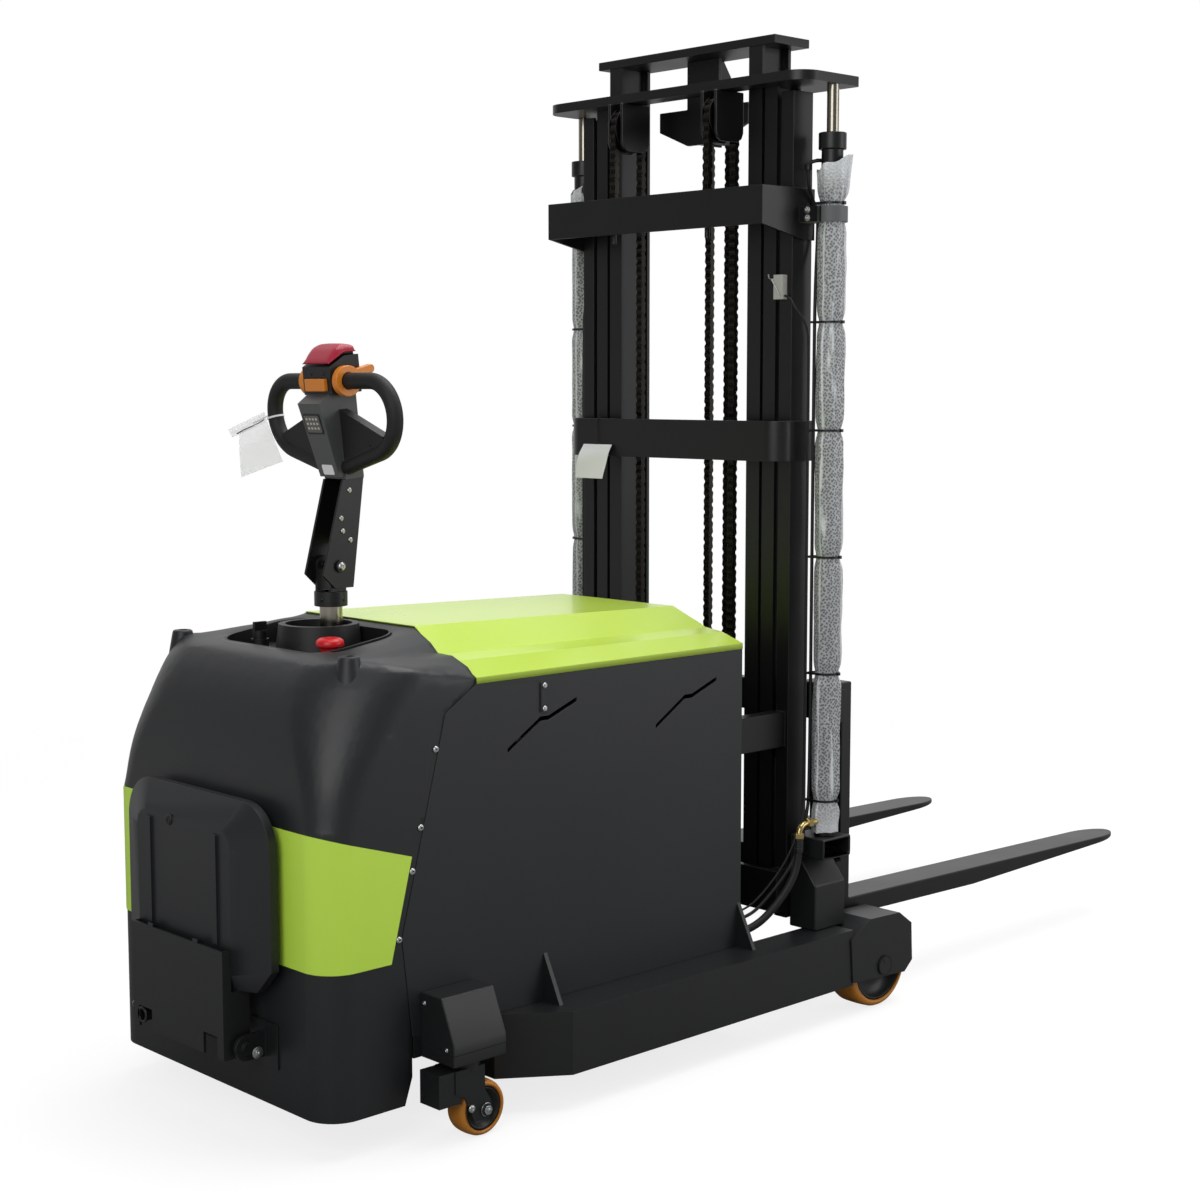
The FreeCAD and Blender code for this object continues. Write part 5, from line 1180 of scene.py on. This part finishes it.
class STACKER_OT_tiller(bpy.types.Operator):
    """Tiller arm, head and its buttons"""

    bl_idname = "stacker.tiller"
    bl_label = "Tiller"
    lean = math.radians(6)
    foot_mm = (38, 0, 1301)
    face_foot_mm = (-36, 0, 6)
    face_top_mm = (-72, 0, 163)
    face_half_mm = 38.5
    face_back_mm = -14
    crown_mm = 181
    grip_in_mm = 60
    wing_mm = (60, 150)
    # Name, finish, place across and up the face, half width, half height, thickness
    face_parts_mm = (
        ("display_bezel", "moulded_pp_black", -2, 117, 29, 22, 1.6),
        ("display_film", "printed_film_warm", -2, 117, 25.5, 18.5, 2.0),
        ("face_label", "coated_card_white", 2, 16, 19, 11, 0.5),
    )
    key_columns_mm = (-18.5, -7.5, 3.5, 14.5)
    key_rows_mm = (128, 118, 108)
    key_size_mm = (3.2, 2.6, 1.4, 2.8, 0.5)
    belly_slice_mm = 6
    belly_passes = 9
    stem_mm = (11, 264)
    gasket_mm = {"place": (11, 256.1), "half": (14, 44), "high": 5.7, "flat": 0.8}
    stop_profile_mm = (
        (0, -73), (12, -73), (12, -35), (20, -35), (20, -19), (26.5, -19), (28.3, -18.2), (29, -16.5),
        (29, -12.5), (28.4, -8.6), (26.2, -5), (22, -2.2), (15, -0.6), (0, 0),
    )
    washer_mm = ((0.4, 0), (3, 0), (3, 1.6), (0.4, 2))
    beside_key_mm = 26

    def execute(self, context):
        dress("tiller_arm", "enamel_mast_black", 1.5)
        self.finish_head()
        self.face_details()
        dress("throttle_paddles", "moulded_abs_orange", 3, 4)
        dress("horn_button", "moulded_abs_orange", 2.5, 3)
        self.round_belly()
        self.fit_gasket()
        self.turn_stop()
        dress("key_switch", "moulded_pp_black", 1.5)
        self.key_washer()
        return {"FINISHED"}

    def in_head(self, point):
        """A point of the scene in the head's own leaned axes, in millimetres from its foot."""
        away = (Vector(point) - spot(*self.foot_mm)) / MM
        c, s = math.cos(self.lean), math.sin(self.lean)
        return Vector((away.x * c + away.z * s, away.y, away.z * c - away.x * s))

    def from_head(self, x, y, z):
        c, s = math.cos(self.lean), math.sin(self.lean)
        return spot(*self.foot_mm) + Vector((x * c - z * s, y, z * c + x * s)) * MM

    def finish_head(self):
        """Grey face, black crown and wings, soft grips."""
        dress("tiller_head", "moulded_pp_black", 3, 3)
        low, high = self.wing_mm

        def on_grip(centre):
            here = self.in_head(centre)
            out = abs(here.y)
            return out > self.grip_in_mm and (here.z > high or out > high or here.z < low)

        def on_face(centre):
            here = self.in_head(centre)
            across = abs(here.y) < self.face_half_mm
            return across and here.x < self.face_back_mm and here.z < self.crown_mm

        paint("tiller_head", "foam_grip_black", on_grip)
        paint("tiller_head", "moulded_pp_grey", on_face)

    def on_face_at(self, across_mm, up_mm):
        """A placing matrix on the face: Y up the face and Z out of it."""
        foot = self.from_head(*self.face_foot_mm)
        up = (self.from_head(*self.face_top_mm) - foot).normalized()
        across = Vector((0, -1, 0))
        axes = Matrix((across, up, across.cross(up))).transposed().to_4x4()
        return Matrix.Translation(foot) @ axes @ Matrix.Translation((across_mm * MM, up_mm * MM, 0))

    def face_details(self):
        """Blank keypad and label."""
        for name, finish, across, up, half_wide, half_high, thick in self.face_parts_mm:
            bm = bmesh.new()
            add_pad(bm, self.on_face_at(across, up), half_wide, half_high, 4, thick, min(0.8, thick / 2))
            from_bmesh(bm, name, finish, "tiller")
        bm = bmesh.new()
        for up in self.key_rows_mm:
            for across in self.key_columns_mm:
                add_pad(bm, self.on_face_at(across, up), *self.key_size_mm)
        from_bmesh(bm, "display_keys", "moulded_case_pale", "tiller")

    def round_belly(self):
        """The belly button settled into a smooth dome."""
        bm = cleaned("belly_button")
        slice_up(bm, *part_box("belly_button"), self.belly_slice_mm * MM)
        bm.normal_update()
        settle([v for v in bm.verts if self.on_dome(v)], self.belly_passes)
        piece = from_bmesh(bm, "belly_dome", "moulded_abs_crimson", "belly")
        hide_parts("belly_button")

    def on_dome(self, v):
        """True for points of the dome, clear of its underside and of the stem below it."""
        here = self.in_head(v.co)
        reach, root = self.stem_mm
        above = here.xy.length > reach or here.z > root
        return above and all(f.normal.z > -0.3 for f in v.link_faces)

    def fit_gasket(self):
        """A soft pad between the crown and the belly button."""
        x, z = self.gasket_mm["place"]
        high, flat = self.gasket_mm["high"], self.gasket_mm["flat"]
        foot = self.from_head(x, 0, z)
        place = Matrix.Translation(foot) @ Matrix.Rotation(-self.lean, 4, "Y")
        bm = bmesh.new()
        add_pad(bm, place, *self.gasket_mm["half"], 5, high, 0.8)
        piece = from_bmesh(bm, "belly_gasket", "extruded_rubber_black", "tiller")
        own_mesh(piece)

    def turn_stop(self):
        """The domed head of the emergency stop on its skirt and stem."""
        low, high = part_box("stop_button")
        top = Matrix.Translation(((low.x + high.x) / 2, (low.y + high.y) / 2, high.z))
        piece = turn_piece("stop_mushroom", scaled(self.stop_profile_mm), top, 48, "moulded_abs_red", "stop")
        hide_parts("stop_button")

    def key_washer(self):
        """A bright ring round the key switch, on the tray."""
        low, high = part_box("key_switch")
        x, y = ((low + high) / 2).xy
        tray = land("control_tray", (x - self.beside_key_mm * MM, y, high.z), (0, 0, -1))[0].z
        outer = (high.y - low.y) / 2
        profile = [(outer + r, h) for r, h in scaled(self.washer_mm)]
        place = Matrix.Translation((x, y, tray))
        turn_piece("key_washer", profile, place, 32, "zinc_plate_turned", "chassis", closed=True)


class STACKER_OT_hydraulics(bpy.types.Operator):
    """Hoses, brass elbows and the switch's cable"""

    bl_idname = "stacker.hydraulics"
    bl_label = "Hydraulics"
    elbow_mm = {"run": 1109, "corner": 1054, "drop": 1030, "z": 472, "low": 440, "radius": 7.5}
    collar_profile_mm = ((0, 0), (7.5, 0), (8, 1), (8, 13), (7.5, 14), (0, 14))
    crimp_long_mm = 32
    bend_radius_mm = 4.5
    hose_route = (
        (1030, 415, 440), (1030, 415, 394), (1008, 412, 334), (946, 396, 268), (900, 380, 240),
        (860, 370, 234),
    )
    drain_route = (
        (1086, 375, 1986), (1087, 372, 1956), (1112, 364, 1925), (1133, 364, 1890), (1133, 364, 1840),
        (1120, 372, 1770), (1100, 387, 1710), (1096, 389, 1640), (1096, 389, 1096),
        (1096, 389, 560), (1090, 388, 480), (1040, 396, 380), (950, 374, 288), (904, 360, 262),
        (860, 350, 258),
    )
    drain_bend_mm = (
        (1108, 401, 2006), (1098, 390, 2006), (1090, 381, 2003), (1086, 376, 1996), (1086, 375, 1984),
    )
    cable_route = (
        (1052, 336, 1700), (1052, 352, 1697), (1056, 364, 1672), (1070, 376, 1648), (1083, 381, 1620),
        (1085, 381, 1560), (1085, 381, 1096), (1085, 381, 560), (1080, 379, 480), (1030, 386, 388),
        (948, 364, 300), (900, 350, 276), (860, 340, 272),
    )

    def execute(self, context):
        sizes = settings()[1]
        rubber = ("extruded_rubber_black", "chassis")
        for side, sign in SIDES:
            self.fit_elbow(side, sign)
            self.fit_drain(side, sign)
            self.crimp(side, sign, sizes.hose / 2)
            lay_cord("lift_hose_" + side, spots(self.hose_route, sign), sizes.hose, *rubber, "loose")
            lay_cord("drain_hose_" + side, spots(self.drain_route, sign), sizes.drain, *rubber, "hanging")
        lay_cord("switch_cable", spots(self.cable_route, -1), sizes.cable, *rubber, "hanging")
        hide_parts("hydraulic_lines")
        return {"FINISHED"}

    def fit_elbow(self, side, sign):
        """A bent brass tube with a hexagon nut at each end."""
        run, corner, drop, z, low, radius = self.elbow_mm.values()
        y = sign * self.hose_route[0][1]
        turn = corner - drop
        points = [spot(run, y, z)]
        for i in range(9):
            a = math.radians(90 + 90 * i / 8)
            points.append(spot(corner + turn * math.cos(a), y, z - turn + turn * math.sin(a)))
        points.append(spot(drop, y, low))
        bm = bmesh.new()
        sweep(bm, points, radius * MM, 18)
        for centre, axis, wide, long in (
            (spot(corner + 3, y, z), (1, 0, 0), 12, 15),
            (spot(drop, y, low), UP, 11.5, 13),
        ):
            nut = [(0, 0), (wide * 0.9, 0), (wide, 1.2), (wide, long - 1.2), (wide * 0.9, long), (0, long)]
            turned(bm, scaled(nut), placing(centre, axis), 6)
        return from_bmesh(bm, "brass_elbow_" + side, "brass_turned", "chassis", smooth=False)

    def fit_drain(self, side, sign):
        """The moulded bend that leads the drain hose off the cylinder's head."""
        bend = spots(self.drain_bend_mm, sign)
        bm = bmesh.new()
        sweep(bm, bend, self.bend_radius_mm * MM, 14)
        turned(bm, scaled(self.collar_profile_mm), placing(bend[-1], UP), 6)
        from_bmesh(bm, "drain_fitting_" + side, "moulded_pp_black", "chassis")

    def crimp(self, side, sign, wide):
        """The pressed steel sleeve on the hose's end."""
        grow = [(0.2, 0), (2, 0)]
        for low in range(3, 30, 7):
            grow += [(2.4, low), (1.4, low + 3), (2.4, low + 6)]
        grow += [(1.5, self.crimp_long_mm), (0.2, self.crimp_long_mm)]
        profile = [(wide + r, h) for r, h in scaled(grow)]
        place = placing(spots(self.hose_route, sign)[0], -UP)
        turn_piece("hose_crimp_" + side, profile, place, 24, "enamel_frame_black", "chassis", closed=True)


class STACKER_OT_fasteners(bpy.types.Operator):
    """Screws and bolts that show"""

    bl_idname = "stacker.fasteners"
    bl_label = "Fasteners"
    # Places are along and up, or across and up, where the third value is found on the surface
    outside_mm = 700
    above_mm = 1200
    behind_mm = -600
    before_head_mm = -400
    seam_mm = ((-10, 850), (-124, 415))
    cover_heights_mm = (781, 630, 546, 415)
    behind_seam_mm = 6
    cover_sunk_mm = 2.9
    latch_mm = ((252, 831), (252, 879))
    clamp_mm = ((1010, 384, 1875), (1010, 384, 1893))
    arm_mm = ((26, 1276), (4, 1218), (8, 1191), (27, 1172))
    caster_rivet_mm = (-18, 68)
    rivet_radius_mm = 8
    caster_bolt_mm = {"sunk": 5.5, "radius": 10.5}
    mount_mm = ((400, 280), (468, 200))
    head_mm = ((151, 1374), (-130, 1374), (-24, 1518), (20, 1518))
    small_mm = 4.5
    mount_screw_mm = 5
    boss_screw_mm = 7
    clamp_bolt_mm = 6.5
    pivot_bolt_mm = 9
    collar_turns = (200, 285)
    collar_mm = 1048
    pivot_mm = (26, 5, 200)
    seam_high_mm = 192
    seam_half_mm = 1.1
    seam_deep_mm = 98
    proud_mm = 0.3
    axle_profile_mm = ((20.5, -1), (24, -1), (24, 0.05), (20.5, 0.05))
    keeper_low_mm = Vector((-2.5, 4, -1))
    keeper_high_mm = Vector((2.5, 21, 0.05))

    def execute(self, context):
        screw = settings()[1].screw
        for side, sign in SIDES:
            self.cover_screws(side, sign, screw)
            self.caster_bolts(side, sign)
            self.mount_screws(side, sign)
            self.mount_seam_shade(side, sign)
            self.axle_groove_shade(side, sign)
            self.clamp_bolts(side, sign)
            self.pivot_bolt(side, sign)
        self.arm_screws(screw * 0.8)
        self.head_screws()
        self.collar_screws()
        return {"FINISHED"}

    def beside(self, place_mm, sign):
        """A start outside the truck and a direction in towards it."""
        x, z = place_mm
        return spot(x, sign * self.outside_mm, z), (0, -sign, 0)

    def cover_screws(self, side, sign, screw):
        """The row along the cover's seam, the latch plate's two screws and the one in the boss."""
        (high_x, high_z), (low_x, low_z) = self.seam_mm
        bm = bmesh.new()
        for z in self.cover_heights_mm:
            x = high_x + (low_x - high_x) * (high_z - z) / (high_z - low_z) - self.behind_seam_mm
            seat(bm, add_screw, "rear_cover", *self.beside((x, z), sign), self.cover_sunk_mm, screw)
        for place in self.latch_mm:
            seat(bm, add_screw, "side_panel_" + side, *self.beside(place, sign), 0, screw * 0.9)
        from_bmesh(bm, "panel_screws_" + side, "zinc_plate_turned", "chassis")
        bm = bmesh.new()
        x, y = BOSS_MM
        start = spot(x, sign * y, self.above_mm)
        seat(bm, add_screw, "rear_cover", start, (0, 0, -1), 0, self.boss_screw_mm * MM)
        from_bmesh(bm, "boss_screw_" + side, "cut_nylon_black", "chassis")

    def caster_bolts(self, side, sign):
        """The axle's hexagon head and a rivet behind it, on the outer cheek."""
        fork = "caster_fork_" + side
        bm = bmesh.new()
        start = middle("caster_wheel_" + side) + Vector((0, sign * 0.5, 0))
        bolt = self.caster_bolt_mm
        seat(bm, add_bolt, fork, start, (0, -sign, 0), bolt["sunk"], bolt["radius"] * MM, 0.5)
        rivet = self.beside(self.caster_rivet_mm, sign)
        seat(bm, add_screw, fork, *rivet, 0, self.rivet_radius_mm * MM)
        from_bmesh(bm, "caster_bolts_" + side, "zinc_plate_turned", "caster_swivel_" + side)

    def mount_screws(self, side, sign):
        bm = bmesh.new()
        for y, z in self.mount_mm:
            start = spot(self.behind_mm, sign * y, z)
            seat(bm, add_screw, "caster_mount_" + side, start, (1, 0, 0), 0, self.mount_screw_mm * MM)
        from_bmesh(bm, "mount_screws_" + side, "zinc_plate_turned", "chassis")

    def mount_seam_shade(self, side, sign):
        """The painted shade of the groove between a caster box and its base plate: a thin dark band laid
        just proud of the faces.
        """
        low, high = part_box("caster_mount_" + side)
        out = high.y if sign > 0 else low.y
        z, half, proud = self.seam_high_mm * MM, self.seam_half_mm * MM, self.proud_mm * MM
        near, far = sorted((out + sign * proud, out - sign * self.seam_deep_mm * MM))
        bm = bmesh.new()
        # Painted shade: a dark band standing in for the shade inside the seam
        add_block(bm, (low.x - proud, near, z - half), (high.x + proud, far, z + half))
        from_bmesh(bm, "mount_seam_" + side, "shadow_black", "chassis", smooth=False)

    def axle_groove_shade(self, side, sign):
        """The painted shade of the groove round the load wheel's axle and of the slot of its keeper: a dark
        ring and bar laid just proud of the face.
        """
        axle = middle("load_wheel_" + side)
        start = axle + Vector((20 * MM, sign * 0.5, 0))
        face = land("outrigger_" + side, start, (0, -sign, 0))[0].y
        place = placing((axle.x, face, axle.z), (0, sign, 0))
        bm = bmesh.new()
        # Painted shade: a dark ring and bar standing in for the shade in the groove and in the keeper's slot
        turned(bm, scaled(self.axle_profile_mm), place, 40, closed=True)
        slot = place @ Matrix.Rotation(0.5, 4, "Z")
        add_block(bm, self.keeper_low_mm * MM, self.keeper_high_mm * MM, slot)
        from_bmesh(bm, "axle_joint_" + side, "shadow_black", "chassis", smooth=False)

    def clamp_bolts(self, side, sign):
        bm = bmesh.new()
        for start in spots(self.clamp_mm, sign):
            size = self.clamp_bolt_mm * MM
            seat(bm, add_bolt, "upper_crossmember", start, (1, 0, 0), 0, size, follow=True)
        from_bmesh(bm, "clamp_bolts_" + side, "zinc_plate_turned", "chassis")

    def pivot_bolt(self, side, sign):
        """The bolt head at each end of the platform's pin."""
        low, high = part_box("platform_bracket")
        face = high.y if sign > 0 else low.y
        x, sunk, z = (v * MM for v in self.pivot_mm)
        bm = bmesh.new()
        centre = (low.x + x, face - sign * sunk, z)
        add_bolt(bm, centre, (0, sign, 0), self.pivot_bolt_mm * MM, 0.4)
        from_bmesh(bm, "pivot_bolt_" + side, "zinc_plate_turned", "chassis")

    def arm_screws(self, radius):
        bm = bmesh.new()
        for _, sign in SIDES:
            for place in self.arm_mm:
                seat(bm, add_screw, "tiller_arm", *self.beside(place, sign), 0, radius)
        from_bmesh(bm, "arm_screws", "zinc_plate_turned", "tiller")

    def head_screws(self):
        """Dark screws in the wings and the crown."""
        bm = bmesh.new()
        for y, z in self.head_mm:
            start = spot(self.before_head_mm, y, z)
            seat(bm, add_screw, "tiller_head", start, (1, 0, 0), 1, self.small_mm * MM, follow=True)
        from_bmesh(bm, "head_screws", "cut_nylon_black", "tiller")

    def collar_screws(self):
        bm = bmesh.new()
        for turn in self.collar_turns:
            out = Vector((math.cos(math.radians(turn)), math.sin(math.radians(turn)), 0))
            start = spot(0, 0, self.collar_mm) + out * 0.3
            seat(bm, add_screw, "steering_post", start, -out, 1, self.small_mm * MM)
        from_bmesh(bm, "collar_screws", "cut_nylon_black", "steering")


class STACKER_OT_tags(bpy.types.Operator):
    """Clear pouch on the handle and blank card on the mast"""

    bl_idname = "stacker.tags"
    bl_label = "Tags"
    card_mm = ((1004, 291, 1347), (1004, 188, 1347), (972, 190, 1263), (972, 289, 1263))
    wire_mm = ((1016, 244, 1414.6), (1005, 244, 1415), (1004.6, 245, 1392), (1004, 241, 1343))
    pouch_mm = ((-35, 280, 1391), (9, 237, 1416), (33, 214, 1329), (-33, 278, 1294))
    strip_mm = ((-52, 296, 1399), (5, 241, 1437), (9, 237, 1416), (-46, 290, 1381))
    zip_mm = ((-40, 281, 1389), (-28, 271, 1398), (-16, 260, 1405), (-4, 248, 1413), (4, 241, 1420))
    grip_mm = (12.5, 209, 1426)
    grip_axis = (-0.1, 0.22, 1)
    loop_profile_mm = ((17.4, -2), (19, -2), (19, 2), (17.4, 2))
    tail_mm = ((14.5, 225, 1428), (10, 236, 1428), (-12, 258, 1412))
    half_thick_mm = 0.3
    wire_wide_mm = 2
    zip_radius_mm = 1.1
    tail_radius_mm = 1.6

    def execute(self, context):
        self.hang_card()
        self.hang_pouch()
        return {"FINISHED"}

    def hang_sheet(self, corners_mm, bow_mm, name, finish, body, rows=10, columns=10):
        """A thin closed sheet between four corners, bowed a little out of its plane."""
        top_left, top_right, low_right, low_left = spots(corners_mm)
        out = (low_left - top_left).cross(top_right - top_left).normalized()
        bm = bmesh.new()

        def add_point(u, v, offset):
            point = top_left.lerp(top_right, u).lerp(low_left.lerp(low_right, u), v)
            wave = math.sin(math.pi * v) * (0.6 + 0.4 * math.sin(2.2 * u + 4 * v))
            return bm.verts.new(point + out * ((bow_mm * wave + offset) * MM))

        front, back = (
            [[add_point(j / columns, i / rows, offset) for j in range(columns + 1)] for i in range(rows + 1)]
            for offset in (self.half_thick_mm, -self.half_thick_mm)
        )
        for i in range(rows):
            for j in range(columns):
                bm.faces.new((front[i][j], front[i][j + 1], front[i + 1][j + 1], front[i + 1][j]))
                bm.faces.new((back[i][j], back[i + 1][j], back[i + 1][j + 1], back[i][j + 1]))
        rim = [(0, j) for j in range(columns)] + [(i, columns) for i in range(rows)]
        rim += [(rows, j) for j in range(columns, 0, -1)] + [(i, 0) for i in range(rows, 0, -1)]
        for (i, j), (m, n) in zip(rim, rim[1:] + rim[:1]):
            bm.faces.new((front[i][j], back[i][j], back[m][n], front[m][n]))
        from_bmesh(bm, name, finish, body)

    def hang_card(self):
        """A blank card on a wire looped over the middle cross piece."""
        self.hang_sheet(self.card_mm, 9, "hang_card", "coated_card_white", "chassis")
        wire = spots(self.wire_mm)
        wide = self.wire_wide_mm * MM
        lay_cord("card_wire", wire, wide, "extruded_rubber_black", "chassis", "hanging", "knot")

    def hang_pouch(self):
        """A blank film pouch tied to the left grip."""
        self.hang_sheet(self.pouch_mm, 5, "film_pouch", "blown_film_pale", "tiller")
        self.hang_sheet(self.strip_mm, 2, "film_pouch_strip", "blown_film_pale", "tiller", rows=4)
        bm = bmesh.new()
        sweep(bm, spots(self.zip_mm), self.zip_radius_mm * MM, 8)
        from_bmesh(bm, "pouch_zip", "cut_nylon_black", "tiller")
        bm = bmesh.new()
        loop = placing(spot(*self.grip_mm), self.grip_axis)
        turned(bm, scaled(self.loop_profile_mm), loop, 36, closed=True)
        sweep(bm, spots(self.tail_mm), self.tail_radius_mm * MM, 8)
        from_bmesh(bm, "pouch_tie", "coated_card_white", "tiller", smooth=False)


class STACKER_PT_panel(bpy.types.Panel):
    """Lists the stacker's pieces in the sidebar"""

    bl_idname = "STACKER_PT_panel"
    bl_label = "Counterbalance stacker"
    bl_space_type = "VIEW_3D"
    bl_region_type = "UI"
    bl_category = "Stacker"

    def draw(self, context):
        for operator in OPERATORS:
            self.layout.operator(operator.bl_idname)


GROUPS = (
    (StackerColours, "stacker_colours"),
    (StackerSizes, "stacker_sizes"),
    (StackerView, "stacker_view"),
)
OPERATORS = (
    STACKER_OT_stage,
    STACKER_OT_body,
    STACKER_OT_running_gear,
    STACKER_OT_mast,
    STACKER_OT_chains,
    STACKER_OT_sleeves,
    STACKER_OT_platform,
    STACKER_OT_tiller,
    STACKER_OT_hydraulics,
    STACKER_OT_fasteners,
    STACKER_OT_tags,
)


def register():
    for group, name in GROUPS:
        bpy.utils.register_class(group)
        setattr(bpy.types.Scene, name, PointerProperty(type=group))
    for kind in (*OPERATORS, STACKER_PT_panel):
        bpy.utils.register_class(kind)


def unregister():
    for kind in reversed((*OPERATORS, STACKER_PT_panel)):
        bpy.utils.unregister_class(kind)
    for group, name in reversed(GROUPS):
        delattr(bpy.types.Scene, name)
        bpy.utils.unregister_class(group)


def main():
    register()
    make_finishes()
    for operator in OPERATORS:
        group, name = operator.bl_idname.split(".")
        getattr(getattr(bpy.ops, group), name)()


if __name__ == "__main__":
    main()
